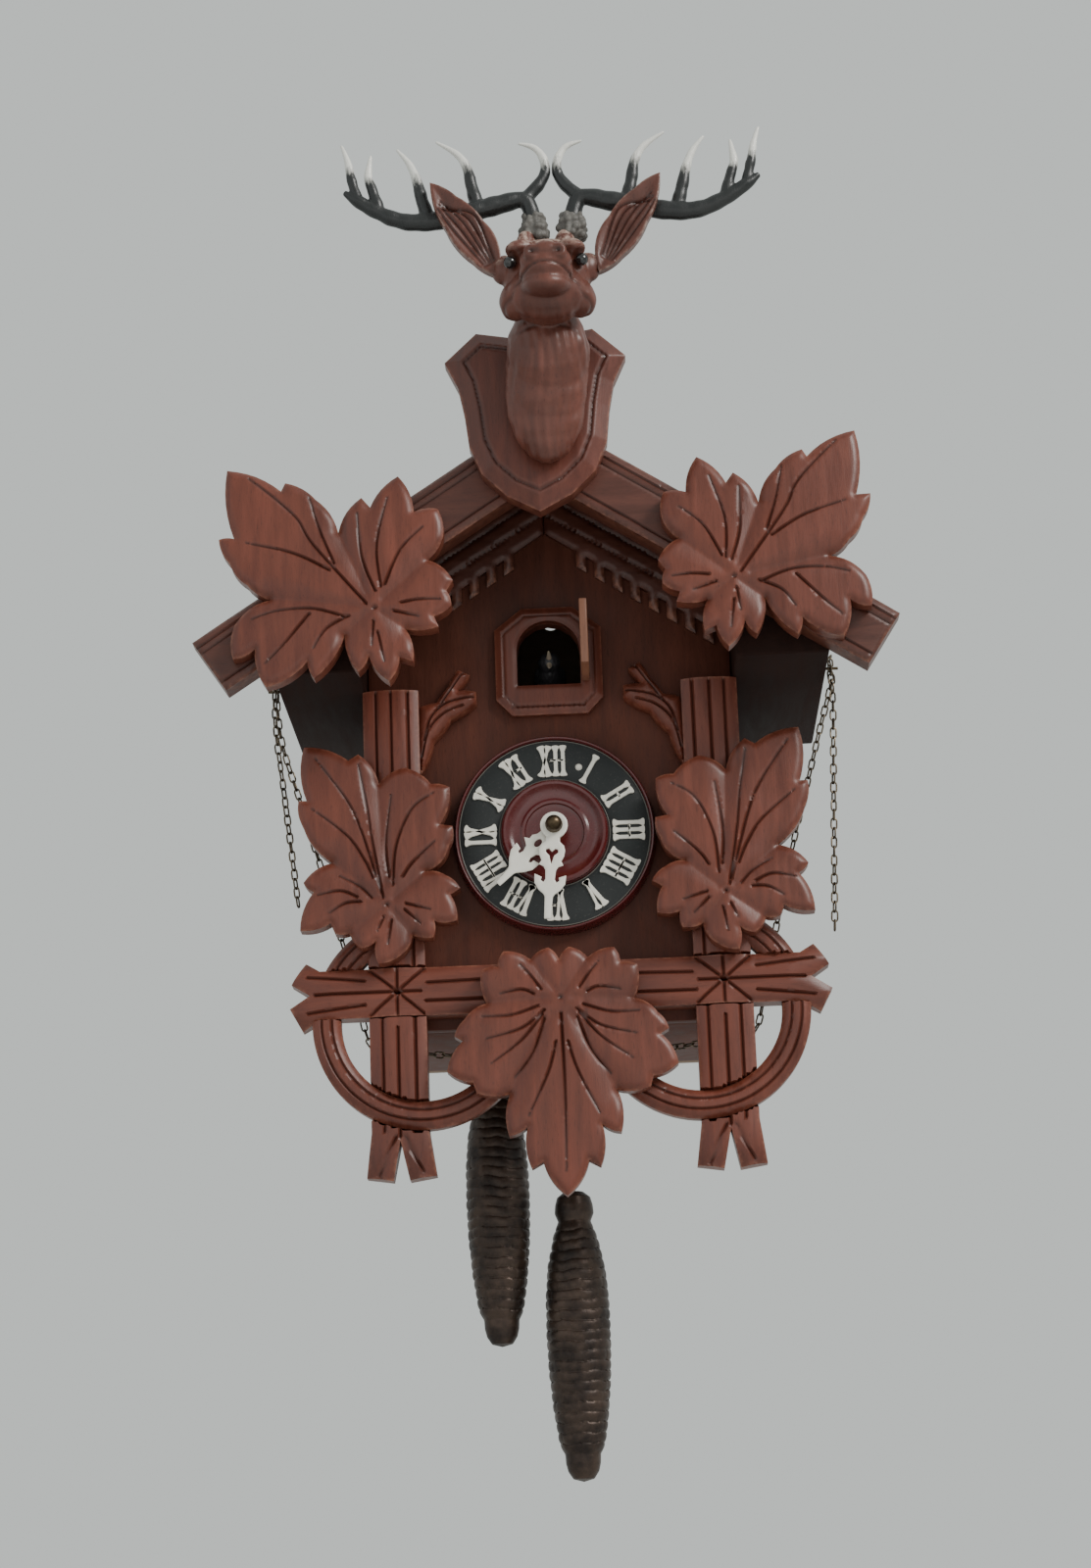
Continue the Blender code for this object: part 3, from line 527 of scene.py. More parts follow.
def smooth_line(points, step=2.0):
    """A smooth 2D or 3D curve through points."""
    pts = [np.array(p, float) for p in points]
    out = []
    for i in range(len(pts) - 1):
        a, b, c, d = pts[max(i - 1, 0)], pts[i], pts[i + 1], pts[min(i + 2, len(pts) - 1)]
        count = max(1, int(math.ceil(np.linalg.norm(c - b) / step)))
        for k in range(count):
            t = k / count
            out.append(tuple(0.5 * (2 * b + (c - a) * t + (2 * a - 5 * b + 4 * c - d) * t**2
                                    + (3 * b - a - 3 * c + d) * t**3)))
    return out + [tuple(pts[-1])]


def leaf(name, node, outline, veins, valleys, centre, back, seed):
    """A carved leaf: it falls away from its centre, with valleys, veins and a rubbed rim, and painted
    shade in the valleys, veins and the small hollow at its centre.
    """
    cx, cy = centre
    outline = [(x + cx, y + cy) for x, y in bowed(outline)]
    veins = [smooth_line([(x + cx, y + cy) for x, y in line]) for line in veins]
    ends = [[(cx + 0.18 * x, cy + 0.18 * y), (cx + x, cy + y)] for x, y in valleys]
    reach = max(math.hypot(x - cx, y - cy) for x, y in outline)

    def surface(points, edge):
        far = np.linalg.norm(points - np.array(centre), axis=1)
        drop = 0.4 + 3.6 * (far / reach) ** 2 + wave(points, 16, seed, 0.5)
        dark = np.zeros(len(points))
        for line in ends:
            d, along = distance(points, line)
            near = fade(d, 4 + 8 * along)
            drop += 2.6 * near ** 1.6 * (0.4 + 0.6 * along)
            # painted shade in the valleys between the lobes
            dark = np.maximum(dark, 0.18 * near)
        dark = np.maximum(dark, engrave(drop, points, veins, 1.25, 1.5, 0.85, 2, 0.62))
        hole = fade(far, 1.8)
        drop += 2.2 * hole
        # painted shade in the small hollow at the centre
        dark = np.maximum(dark, hole)
        drop += 2.0 * fade(edge, 4.0) ** 2
        worn = fade(edge, 1.1) * 0.45
        return drop, dark, worn

    return carved(name, [outline], back - 12.0, back, surface, LEAF_WOOD, "case", node,
                  creases=[(line, 1.1) for line in veins])


TOP_LEAF_PLACE = {"left": (-82.6, 100.0, 0.0, 1.07), "right": (93.0, 108.5, 3.0, 1.0)}


for side, sign in (("left", -1), ("right", 1)):
    x, height, turn, size = TOP_LEAF_PLACE[side]
    spin = Matrix.Rotation(math.radians(turn), 2) * size

    def sided(points):
        return points if sign > 0 else flip(points)

    def spun(points):
        return [tuple(spin @ Vector(p)) for p in sided(points)]
    leaf("leaf_top_" + side, "top_leaf_" + side, spun(TOP_LEAF),
         [spun(v) for v in TOP_VEINS], spun(TOP_VALLEYS), (x, height), ROOF_LEAF_PLANE, 3 + sign)
    leaf("leaf_middle_" + side, "middle_leaf_" + side, sided(MIDDLE_LEAF),
         [sided(v) for v in MIDDLE_VEINS], sided(MIDDLE_VALLEYS), (sign * 83, -37.5), LEAF_PLANE,
         7 + sign)
half = BOTTOM_LEAF_HALF
leaf("leaf_bottom", "bottom_leaf", half + flip(half[-2:0:-1]),
     [[(0, -8), (0.6, -45), (0, -84)]] + BOTTOM_VEINS_HALF + [flip(v) for v in BOTTOM_VEINS_HALF],
     BOTTOM_VALLEYS_HALF + flip(BOTTOM_VALLEYS_HALF), (0, -87), LEAF_PLANE, 12)


# ---------------------------------------------------------------- boards

SLOPE, RIDGE, BARGE_END, BARGE_DROP = 0.652, 203.6, 173.5, 36.4
CROSS_H, POST_X = -78.7, 80.0
HOOP_X, HOOP_H, HOOP_IN, HOOP_OUT = 68.0, -93.0, 40.0, 54.0


def roof_line(x, drop):
    """The height of the roof's slope at x, less a drop."""
    return RIDGE - SLOPE * abs(x) - drop


def arc(centre_x, centre_h, radius, start, end, steps):
    angles = [math.radians(start + (end - start) * k / steps) for k in range(steps + 1)]
    return [(centre_x + radius * math.cos(a), centre_h + radius * math.sin(a)) for a in angles]


def softened(name, node, finish, body="case", width=0.7):
    """The CAD node's own shape with eased edges."""
    source = bpy.data.objects[node]
    mesh = source.data.copy()
    mesh.materials.clear()
    mesh.transform(source.matrix_world)
    shape = bmesh.new()
    shape.from_mesh(mesh)
    bmesh.ops.remove_doubles(shape, verts=shape.verts, dist=2e-6)
    bmesh.ops.dissolve_limit(shape, angle_limit=math.radians(1.5), verts=shape.verts,
                             edges=shape.edges)
    corners = [e for e in shape.edges if len(e.link_faces) == 2
               and e.calc_face_angle(0) > math.radians(35)]
    bmesh.ops.bevel(shape, geom=corners, offset=width * MM, segments=2, profile=0.5,
                    affect="EDGES", clamp_overlap=True)
    bmesh.ops.triangulate(shape, faces=[f for f in shape.faces if len(f.verts) > 4])
    shape.to_mesh(mesh)
    shape.free()
    return piece(name, mesh, finish, body, node, smooth=30)


def barge(side, sign):
    """The moulded board along the front of the roof."""
    normal = Vector((SLOPE, 1)).normalized()
    corner = Vector((BARGE_END, roof_line(BARGE_END, 0)))
    low = corner - normal * BARGE_DROP * normal.y
    outline = [(0.2, RIDGE), tuple(corner), tuple(low), (0.2, RIDGE - BARGE_DROP)]
    outline = outline if sign > 0 else flip(outline)
    lines = {4.5: 1.0, 8.2: 0.7, 26.0: 0.9}

    def surface(points, edge):
        under = roof_line(0, 0) - SLOPE * np.abs(points[:, 0]) - points[:, 1]
        under = under * normal.y
        out = np.abs(points[:, 0]) * normal.y + (RIDGE - points[:, 1]) * 0.545
        drop = 0.3 + wave(points, 30, 21, 0.25)
        drop += 1.8 * fade(under, 4.5) + 1.2 * fade(edge, 2.0) ** 2
        dark = np.zeros(len(points))
        for place, depth in lines.items():
            near = fade(np.abs(under - place), 1.0)
            drop += near * depth
            # painted shade in the grooves along the board
            dark = np.maximum(dark, 0.6 * near)
        end = fade(206 - out, 9.0)
        drop += 0.5 * end
        # painted shade on the board's outer end, which falls back
        dark = np.maximum(dark, 0.15 * end)
        return drop, dark, fade(edge, 1.0) * 0.4

    rows = [([(sign * x, roof_line(x, place / normal.y)) for x in (1, BARGE_END - 1)], 1.0)
            for place in lines]
    carved("barge_" + side, [outline], BARGE_PLANE, BARGE_BACK, surface, SLOPE_WOOD[side], "case",
           "barge_board_" + side, step=1.5, creases=rows)


def dentils(side, sign):
    """The strip with teeth under the barge board."""
    upper, lower, tooth = 13.2, 44.0, 8.0
    outline = [(0.3, roof_line(0, upper)), (90, roof_line(90, upper)), (90, roof_line(90, lower))]
    for k in range(8):
        outer, inner = 84 - 9 * k, 79 - 9 * k
        outline += [(outer, roof_line(outer, lower)), (outer, roof_line(outer, lower + tooth)),
                    (inner, roof_line(inner, lower + tooth)), (inner, roof_line(inner, lower))]
    outline.append((0.3, roof_line(0, lower)))
    outline = outline if sign > 0 else flip(outline)

    def surface(points, edge):
        under = RIDGE - SLOPE * np.abs(points[:, 0]) - points[:, 1]
        drop = 0.2 + 1.4 * fade(edge, 2.2) ** 2 + wave(points, 9, 5, 0.3)
        drop += 1.2 * (under > 34) + 1.4 * np.clip((under - 44) / 8, 0, 1)
        near = fade(np.abs(under - 24), 1.4)
        near = np.maximum(near, fade(np.abs(under - 34), 1.2))
        drop += near * 1.2
        # painted shade in the two grooves and round the edges of the teeth
        dark = np.maximum(0.7 * near, 0.35 * fade(edge, 1.0) * (under > 42))
        # the teeth grow paler towards their lower ends
        worn = np.clip((under - 44) / 6, 0, 1) * 0.5
        return drop, dark, worn

    carved("dentils_" + side, [outline], BOARD_PLANE - 6, BOARD_PLANE, surface, SLOPE_WOOD[side], "case",
           "dentil_strip_" + side, step=1.6)


def in_hoop(points, sign, spare=0.0):
    """Which points the hoop covers."""
    far = np.hypot(points[:, 0] - sign * HOOP_X, points[:, 1] - HOOP_H)
    return (far > HOOP_IN - spare) & (far < HOOP_OUT + spare)


def post(side, sign):
    """An upright log, split at its foot and lapped by the cross log."""
    outline = [(-14, 75.6), (-14, -148), (-17, -169), (-4, -171), (0, -152), (4, -171),
               (17, -169), (14, -148), (14, 75.6)]
    outline = [(sign * (x + POST_X), h) for x, h in outline]
    lines = [(-8.5, 74, -147), (0, 74, -60), (7.5, 74, -147), (0, -96, -150)]
    runs = [[(sign * (POST_X + x), a), (sign * (POST_X + x), b)] for x, a, b in lines]
    forks = [[(sign * (POST_X + s * 2), -150), (sign * (POST_X + s * 11), -168)] for s in (-1, 1)]

    def surface(points, edge):
        across = sign * points[:, 0] - POST_X
        drop = 0.3 + 3.0 * np.abs(across / 14) ** 2.6 + wave(points, 22, 31 + sign, 0.4)
        # painted shade in the grooves and fork lines
        dark = engrave(drop, points, runs + forks, 1.2, 1.5, 0.85)
        tip = np.clip((-146 - points[:, 1]) / 25, 0, 1)
        drop += 4.5 * tip * fade(np.abs(across), 9) + 3.0 * tip ** 3
        # painted shade on the split foot, which falls back
        dark = np.maximum(dark, 0.35 * tip ** 2)
        lap = np.abs(points[:, 1] - CROSS_H) < 12.2
        drop = np.where(lap, 14, drop)
        drop = np.where(in_hoop(points, sign, 0.2) & ~lap & (points[:, 1] < -90), 10.4, drop)
        return drop, dark, fade(edge, 1.0) * 0.4

    carved("log_post_" + side, [outline], LOG_PLANE, BOARD_PLANE, surface, LOG_WOOD, "case",
           "post_" + side, step=1.5, creases=[(run, 1.1) for run in runs])


def bar(side, sign):
    """A cross log with a split outer end and a star over the post."""
    tip = POST_X + 52
    outline = [(30, CROSS_H - 12), (30, CROSS_H + 12), (tip - 14, CROSS_H + 12),
               (tip - 7, CROSS_H + 17), (tip, CROSS_H + 6), (tip - 9, CROSS_H),
               (tip + 1, CROSS_H - 6), (tip - 5, CROSS_H - 17), (tip - 14, CROSS_H - 12)]
    outline = outline if sign > 0 else flip(outline)
    x0 = POST_X
    star = [[(x0, CROSS_H), (x0 + 13 * a, CROSS_H + 11 * b)] for a in (-1, 1) for b in (-1, 1)]
    star += [[(x0, CROSS_H), (x0, CROSS_H + 12 * b)] for b in (-1, 1)]
    lines = [(32, 4.5, x0 - 15, 4), (32, -5, x0 - 14, -5), (x0 - 12, 0, tip - 12, 0),
             (x0 + 16, 6, tip - 8, 9), (x0 + 16, -6, tip - 8, -9)]
    runs = [[(x1, CROSS_H + h1), (x2, CROSS_H + h2)] for x1, h1, x2, h2 in lines] + star
    if sign < 0:
        runs = [flip(run) for run in runs]

    def surface(points, edge):
        up = (points[:, 1] - CROSS_H) / 12
        out = sign * points[:, 0]
        near_cross = fade(np.abs(out - POST_X), 16)
        drop = 0.3 + 2.8 * np.abs(up) ** 2.6 * (1 - near_cross) + wave(points, 22, 41 + sign, 0.4)
        dark = engrave(drop, points, runs, 1.2, 1.5, 0.85)
        end = np.clip((out - 112) / 20, 0, 1)
        drop += 4.0 * end * fade(np.abs(up), 0.7) + 2.5 * end ** 3
        # painted shade in the grooves and on the split end, which falls back
        return drop, np.maximum(dark, 0.35 * end ** 2), fade(edge, 1.0) * 0.4

    carved("log_bar_" + side, [outline], LOG_PLANE, BOARD_PLANE, surface, BAR_WOOD, "case",
           "cross_bar_" + side, step=1.4, creases=[(run, 1.1) for run in runs])


def hoop(side, sign):
    """The bent branch under the logs."""
    outline = (arc(HOOP_X, HOOP_H, HOOP_OUT, 65, -145, 60)
               + arc(HOOP_X, HOOP_H, HOOP_IN, -145, 65, 48))
    outline = outline if sign > 0 else flip(outline)
    rings = [arc(HOOP_X, HOOP_H, r, 62, -142, 60) for r in (44.4, 49.4)]
    rings = rings if sign > 0 else [flip(ring) for ring in rings]

    def surface(points, edge):
        far = np.hypot(points[:, 0] - sign * HOOP_X, points[:, 1] - HOOP_H)
        drop = 0.2 + 3.6 * np.abs((far - 47) / 7) ** 2.4 + wave(points, 18, 51 + sign, 0.3)
        # painted shade in the two grooves
        dark = engrave(drop, points, rings, 1.1, 1.2, 0.8)
        drop = np.where(np.abs(points[:, 1] - CROSS_H) < 12, 6.0, drop)
        return drop, dark, fade(edge, 0.9) * 0.4

    carved("hoop_carved_" + side, [outline], LOG_PLANE, LOG_PLANE + 10, surface, LOG_WOOD, "case",
           "hoop_" + side, step=1.3, creases=[(ring, 1.0) for ring in rings])


def twig(side, sign):
    """The short twig beside the doorway."""
    outline = [(65.7, 68), (57, 70), (51, 78), (46, 87), (40, 84), (46, 76), (37, 75), (37, 69),
               (50, 61), (59, 50), (65.7, 33)]
    runs = [[(64, 50), (60, 62), (52, 69), (38.5, 72)], [(57, 66), (50, 76), (43.5, 85)],
            [(65, 42), (61, 56), (53, 64), (44, 67.5)]]
    if sign < 0:
        outline, runs = flip(outline), [flip(run) for run in runs]
    runs = [smooth_line(run) for run in runs]

    def surface(points, edge):
        drop = 0.4 + 3.4 * fade(edge, 4.5) ** 2 + wave(points, 12, 61 + sign, 0.4)
        # painted shade in the grooves
        dark = engrave(drop, points, runs, 1.0, 1.3, 0.85)
        return drop, dark, fade(edge, 0.9) * 0.35

    carved("twig_carved_" + side, [bowed(outline, 0.05)], BOARD_PLANE - 11, BOARD_PLANE, surface, LOG_WOOD,
           "case", "twig_" + side, step=1.1, creases=[(run, 0.9) for run in runs])


def shield():
    """The shield behind the stag, scored along its rim."""
    half = [(0, 146.5), (16, 155), (28, 167), (34, 182), (36, 200), (38.5, 213), (45, 227),
            (29, 242), (0, 237)]
    outline = half + flip(half[-2:0:-1])

    def surface(points, edge):
        drop = 0.3 + 5.5 * fade(edge, 7.5) + wave(points, 25, 71, 0.4)
        near = fade(np.abs(edge - 8.2), 1.5)
        drop += 1.2 * near
        # painted shade in the groove along the rim
        return drop, 0.8 * near, fade(edge, 1.0) * 0.5

    carved("shield_carved", [outline], -194.8, ROOF_LEAF_PLANE, surface, SHIELD_WOOD, "case", "shield",
           step=0.9)


def door_frame():
    """The surround of the bird's doorway, with punched dots."""
    outline = [(-19, 62.5), (19, 62.5), (27, 71), (27, 108), (13, 119), (-13, 119), (-27, 108),
               (-27, 71)]
    opening = [(16, 78)] + arc(0, 96, 16, 0, 180, 24) + [(-16, 78)]
    dots = [(x, 66.5) for x in np.arange(-19, 20, 2.6)]

    def surface(points, _):
        outer = distance(points, outline, True)[0]
        inner = distance(points, opening, True)[0]
        drop = 0.2 + 1.6 * fade(outer, 3.0) + 1.0 * fade(inner, 2.2)
        near = fade(np.abs(outer - 4.4), 0.9)
        drop += 0.7 * near
        # painted shade in the groove round the frame
        dark = 0.6 * near
        for x, h in dots:
            d = np.hypot(points[:, 0] - x, points[:, 1] - h)
            drop += 0.9 * fade(d, 1.0)
            # painted shade in the punched dots
            dark = np.maximum(dark, fade(d, 1.1))
        return drop, dark, fade(outer, 0.8) * 0.45

    carved("door_surround", [outline, opening], BOARD_PLANE - 5.7, BOARD_PLANE, surface, LOG_WOOD, "case",
           "door_frame", step=1.0)


for side, sign in (("left", -1), ("right", 1)):
    barge(side, sign)
    dentils(side, sign)
    post(side, sign)
    bar(side, sign)
    hoop(side, sign)
    twig(side, sign)
    softened("wall_" + side, "side_wall_" + side, BOARD_WOOD)
    softened("eave_" + side, "roof_board_" + side, ROOF_WOOD_PAINTED_SHADE, width=1.0)
shield()
door_frame()
softened("front_panel", "front_board", BOARD_WOOD)
softened("bottom_panel", "bottom_board", BOARD_WOOD)
softened("back_panel", "back_board", PLY)


# ---------------------------------------------------------------- dial and hands

def lathe(profile, steps, closed=False):
    """Rings of (radius, distance) points turned about the Z axis, in millimetres."""
    angles = np.linspace(0, 2 * math.pi, steps, endpoint=False)
    verts, faces = [], []
    for r, along in profile:
        verts += [(r * math.cos(t), r * math.sin(t), along) for t in angles]
    count = len(profile)
    for k in range(count if closed else count - 1):
        for j in range(steps):
            a, b = k * steps, ((k + 1) % count) * steps
            i = (j + 1) % steps
            faces.append((a + j, b + j, b + i, a + i))
    return verts, faces


def facing(verts, x=0.0, height=0.0):
    """Lathe points with their axis along the clock's depth."""
    return [at(x + a, -along, height + b) for a, b, along in verts]


def mesh_from(name, verts, faces, weld=True):
    """A mesh with its normals outwards."""
    mesh = bpy.data.meshes.new(name)
    mesh.from_pydata(verts, [], faces)
    shape = bmesh.new()
    shape.from_mesh(mesh)
    if weld:
        bmesh.ops.remove_doubles(shape, verts=shape.verts, dist=2e-6)
    bmesh.ops.recalc_face_normals(shape, faces=shape.faces)
    shape.to_mesh(mesh)
    shape.free()
    return mesh


def ring_piece(name, profile, finish, body, *nodes, steps=144, closed=True, smooth=32):
    verts, faces = lathe(profile, steps, closed)
    mesh = mesh_from(name, facing(verts), faces)
    return piece(name, mesh, finish, body, *nodes, smooth=smooth)


dish = [(3.9, 126.0), (8, 126.3), (12.5, 126.1), (14.4, 126.4), (14.9, 127.3), (16.2, 127.6),
        (17.4, 126.9), (19.6, 127.0), (21.6, 127.5), (23.2, 128.8), (24.2, 129.6), (25.4, 129.7),
        (26.4, 128.8), (26.9, 126.5), (27.0, 124.0), (48.0, 124.0), (48.1, 125.8), (48.6, 126.8),
        (49.2, 127.0), (49.7, 126.4), (49.9, 125.0), (50.6, 122.5), (50.8, 118.3), (3.9, 118.3)]
ring_piece("dial_dish_glossy", dish, MAROON, "case", "dial_dish")
ring_piece("chapter_ring", [(27.3, 125.0), (27.9, 125.3), (47.1, 125.3), (47.7, 125.0),
                            (47.7, 124.3), (27.3, 124.3)], CHAPTER, "case", "numeral_ring")
for name, r in (("chapter_edge_out", 47.5), ("chapter_edge_in", 27.5)):
    edge = [(r + 0.28 * math.cos(a), 125.2 + 0.28 * math.sin(a))
            for a in np.linspace(0, 2 * math.pi, 8, endpoint=False)]
    ring_piece(name, edge, CHAPTER_EDGE, "case")


def bone(p, q, width, flare, low, high, parts):
    """A numeral's stroke with rounded, flaring ends, raised from low to high."""
    p, q = np.array(p, float), np.array(q, float)
    long = float(np.linalg.norm(q - p))
    way = (q - p) / long
    side = np.array([-way[1], way[0]])
    half = [(0.0, 0.0), (0.1, 0.75), (0.5, 1.0), (1.1, 0.96), (1.9, 0.7), (3.2, 0.5)]
    run = []
    for t, f in half:
        whole = width + (flare - width) * (f - 0.5) * 2 if f > 0.5 else width * f * 2
        run.append((t, whole / 2))
    run = run + [(long - t, w) for t, w in reversed(run)]
    outline = [p + way * t + side * w for t, w in run] + [p + way * t - side * w
                                                          for t, w in reversed(run[1:-1])]
    middle = sum(outline) / len(outline)
    verts, faces = parts
    start, count = len(verts), len(outline)
    for level, shrink in ((low, 0.0), (high - 0.25, 0.0), (high, 0.22)):
        for point in outline:
            to = middle - point
            axis = np.clip(np.dot(to, side), -shrink, shrink)
            verts.append((*(point + side * axis), level))
    for level in range(2):
        for i in range(count):
            j = (i + 1) % count
            a, b = start + level * count, start + (level + 1) * count
            faces.append((a + i, a + j, b + j, b + i))
    faces.append(tuple(start + i for i in range(count - 1, -1, -1)))
    faces.append(tuple(start + 2 * count + i for i in range(count)))


def numeral(text, hour, parts):
    """The strokes of one Roman numeral, its foot to the centre."""
    widths = {"I": 3.7, "V": 7.0, "X": 7.2}
    total = sum(widths[c] for c in text)
    squeeze = min(1.0, 16.2 / total)
    x = -total * squeeze / 2
    inner, outer = 28.9, 44.9
    angle = math.radians(30 * hour)
    strokes = []
    for c in text:
        w = widths[c] * squeeze
        mid = x + w / 2
        if c == "I":
            strokes.append(((mid, inner), (mid, outer), 2.0, 3.9))
        elif c == "V":
            strokes.append(((mid + 0.4, inner), (x + 1.4, outer), 2.2, 3.9))
            strokes.append(((mid + 0.4, inner), (x + w - 1.4, outer), 1.5, 3.9))
        else:
            strokes.append(((x + w - 1.5, inner), (x + 1.5, outer), 2.3, 3.9))
            strokes.append(((x + 1.5, inner), (x + w - 1.5, outer), 1.5, 3.9))
        if c == "I" and mid - 3.7 * squeeze > -total * squeeze / 2:
            strokes.append(((mid - 2.6, 37.2), (mid, 37.2), 1.3, 1.3))
        x += w
    for (x0, r0), (x1, r1), width, flare in strokes:
        ends = []
        for px, pr in ((x0, r0), (x1, r1)):
            ends.append((px * math.cos(angle) + pr * math.sin(angle),
                         -px * math.sin(angle) + pr * math.cos(angle)))
        bone(*ends, width * squeeze ** 0.5, flare * squeeze, 125.2, 126.3, parts)


parts = ([], [])
for hour, text in enumerate(("I", "II", "III", "IIII", "V", "VI", "VII", "VIII", "IX", "X",
                             "XI", "XII"), 1):
    numeral(text, hour, parts)
piece("roman_numerals", mesh_from("roman_numerals", facing(parts[0]), parts[1], weld=False),
      IVORY, "case")
dot_x, dot_h = 35.9 * math.sin(math.radians(21.6)), 35.9 * math.cos(math.radians(21.6))
verts, faces = lathe([(0.01, 126.5), (0.9, 126.4), (1.5, 126.0), (1.8, 125.2)], 28)
piece("dial_dot", mesh_from("dial_dot", facing(verts, dot_x, dot_h), faces), IVORY, "case")


def fretted(name, half, hub, holes, angle, front, thick, body, node):
    """A flat fretted hand with domed faces and cut-out holes."""
    end = math.atan2(half[0][1], half[0][0])
    around = [(hub * math.cos(t), hub * math.sin(t))
              for t in np.linspace(math.pi - end, 2 * math.pi + end, 26)[1:-1]]
    outline = half + flip(half[::-1]) + around
    turn = Matrix.Rotation(-math.radians(angle), 2)
    lines = [[tuple(turn @ Vector(p)) for p in line] for line in [outline, *holes]]

    def surface(points, edge):
        return 0.35 * fade(edge, 1.0) ** 2, np.zeros(len(points)), \
            np.zeros(len(points))

    return carved(name, lines, front, front + thick, surface, IVORY, body, node, step=0.7)


def oval(x, d, wide, high):
    """A round hole in a hand, at a distance from the hand's axle."""
    return [(x + wide * math.cos(t), d + high * math.sin(t))
            for t in np.linspace(0, 2 * math.pi, 18, endpoint=False)]


minute_half = [(3.4, 5.9), (3.5, 8.4), (5.6, 10.2), (6.4, 12.6), (6.1, 15.5), (4.9, 18.2),
               (6.0, 20.2), (3.6, 21.2), (2.6, 23.0), (2.3, 27.6), (3.2, 29.2), (4.6, 28.2),
               (4.2, 26.6), (7.8, 25.2), (7.6, 29.6), (5.4, 33.0), (2.8, 35.0), (2.0, 36.4),
               (1.5, 47.4)]
heart = [(0.0, 13.6), (1.5, 12.0), (3.0, 12.4), (3.1, 13.9), (1.2, 15.6), (0.0, 20.0),
         (-1.2, 15.6), (-3.1, 13.9), (-3.0, 12.4), (-1.5, 12.0)]
hour_half = [(3.2, 5.4), (3.4, 8.2), (4.9, 10.4), (4.7, 12.6), (7.0, 14.0), (3.4, 16.4),
             (2.5, 19.5), (3.2, 21.8), (4.4, 21.0), (4.4, 19.4), (7.8, 18.6), (7.4, 23.2),
             (5.0, 27.0), (2.6, 29.6), (1.9, 31.0), (1.2, 40.0)]
fretted("minute_hand_fretted", minute_half, 6.8, [oval(0, 0, 2.6, 2.6), heart], 186.0, -141.2,
        1.3, "minute", "minute_hand")
fretted("hour_hand_fretted", hour_half, 6.3, [oval(0, 0, 3.8, 3.8), oval(0, 11.5, 1.6, 2.4)],
        225.5, -138.2, 1.3, "hour", "hour_hand")
nut = [(0.01, 149.2), (1.4, 149.0), (2.7, 148.2), (3.6, 147.0), (4.0, 145.4), (4.05, 143.2),
       (4.3, 143.0), (4.3, 142.3), (0.01, 142.2)]
ring_piece("hand_nut_domed", nut, DARK_BRASS, "minute", "hand_nut", steps=48, closed=False)


# ---------------------------------------------------------------- weights and chains

CONE = [(0.01, 0), (5, -0.3), (8.4, -3), (9.5, -7), (9.8, -11), (8.2, -15), (9.6, -19),
        (11.2, -24), (14.2, -38), (15.6, -54), (15.8, -72), (15.2, -90), (13.6, -108),
        (11.2, -124), (8.8, -130), (8.6, -134), (7.6, -138), (5.2, -141.6), (0.01, -143)]
WHEEL_X = {"left": -24.0, "right": 14.0}
WEIGHT_TOP = {"left": -103.0, "right": -170.0}
WHEEL_H, CHAIN_Y, PITCH_R = -20.0, -60.0, 12.5
LINK_PITCH, LINK_STRAIGHT, LINK_R, WIRE_R, LINK_ARC = 4.7, 1.35, 1.45, 0.45, 6


CONE_STEPS, CONE_ROWS = 132, 300


def cone_mesh(name, seed):
    """A fir cone in cast iron: wavy rows of scales between a smooth cap and a nub."""
    depth = np.array([-z for _, z in CONE])
    radius = np.array([r for r, _ in CONE])
    runs = np.concatenate([[0], np.cumsum(np.hypot(np.diff(depth), np.diff(radius)))])
    steps, rows = CONE_STEPS, CONE_ROWS
    even = np.linspace(0, runs[-1], rows)
    z, r = np.interp(even, runs, depth), np.interp(even, runs, radius)
    angles = np.linspace(0, 2 * math.pi, steps, endpoint=False)
    zz, tt = np.meshgrid(z, angles, indexing="ij")
    rr = np.repeat(r[:, None], steps, axis=1)
    wander = (0.6 * np.sin(2 * tt + seed + 0.6 * np.sin(zz / 17)) + 0.35 * np.sin(5 * tt + zz / 13)
              + 0.2 * np.sin(9 * tt - zz / 9 + seed))
    cell = ((zz + wander) / 5.0) % 1.0
    scale = np.sqrt(np.clip(1 - (2 * cell - 0.8) ** 2 / 1.44, 0, 1)) - 0.6
    split = np.abs(np.sin(3.5 * tt + 0.9 * np.floor((zz + wander) / 5.0))) ** 0.4
    amount = np.clip((zz - 16) / 5, 0, 1) * np.clip((131 - zz) / 5, 0, 1)
    lift = amount * (1.35 * scale + 0.35 * split - 0.5)
    rr = np.maximum(rr + lift, 0.01)
    verts = np.stack([rr * np.cos(tt), rr * np.sin(tt), -zz], axis=2).reshape(-1, 3)
    faces = [(k * steps + j, k * steps + (j + 1) % steps, (k + 1) * steps + (j + 1) % steps,
              (k + 1) * steps + j) for k in range(rows - 1) for j in range(steps)]
    return mesh_from(name, [tuple(v) for v in verts], faces)


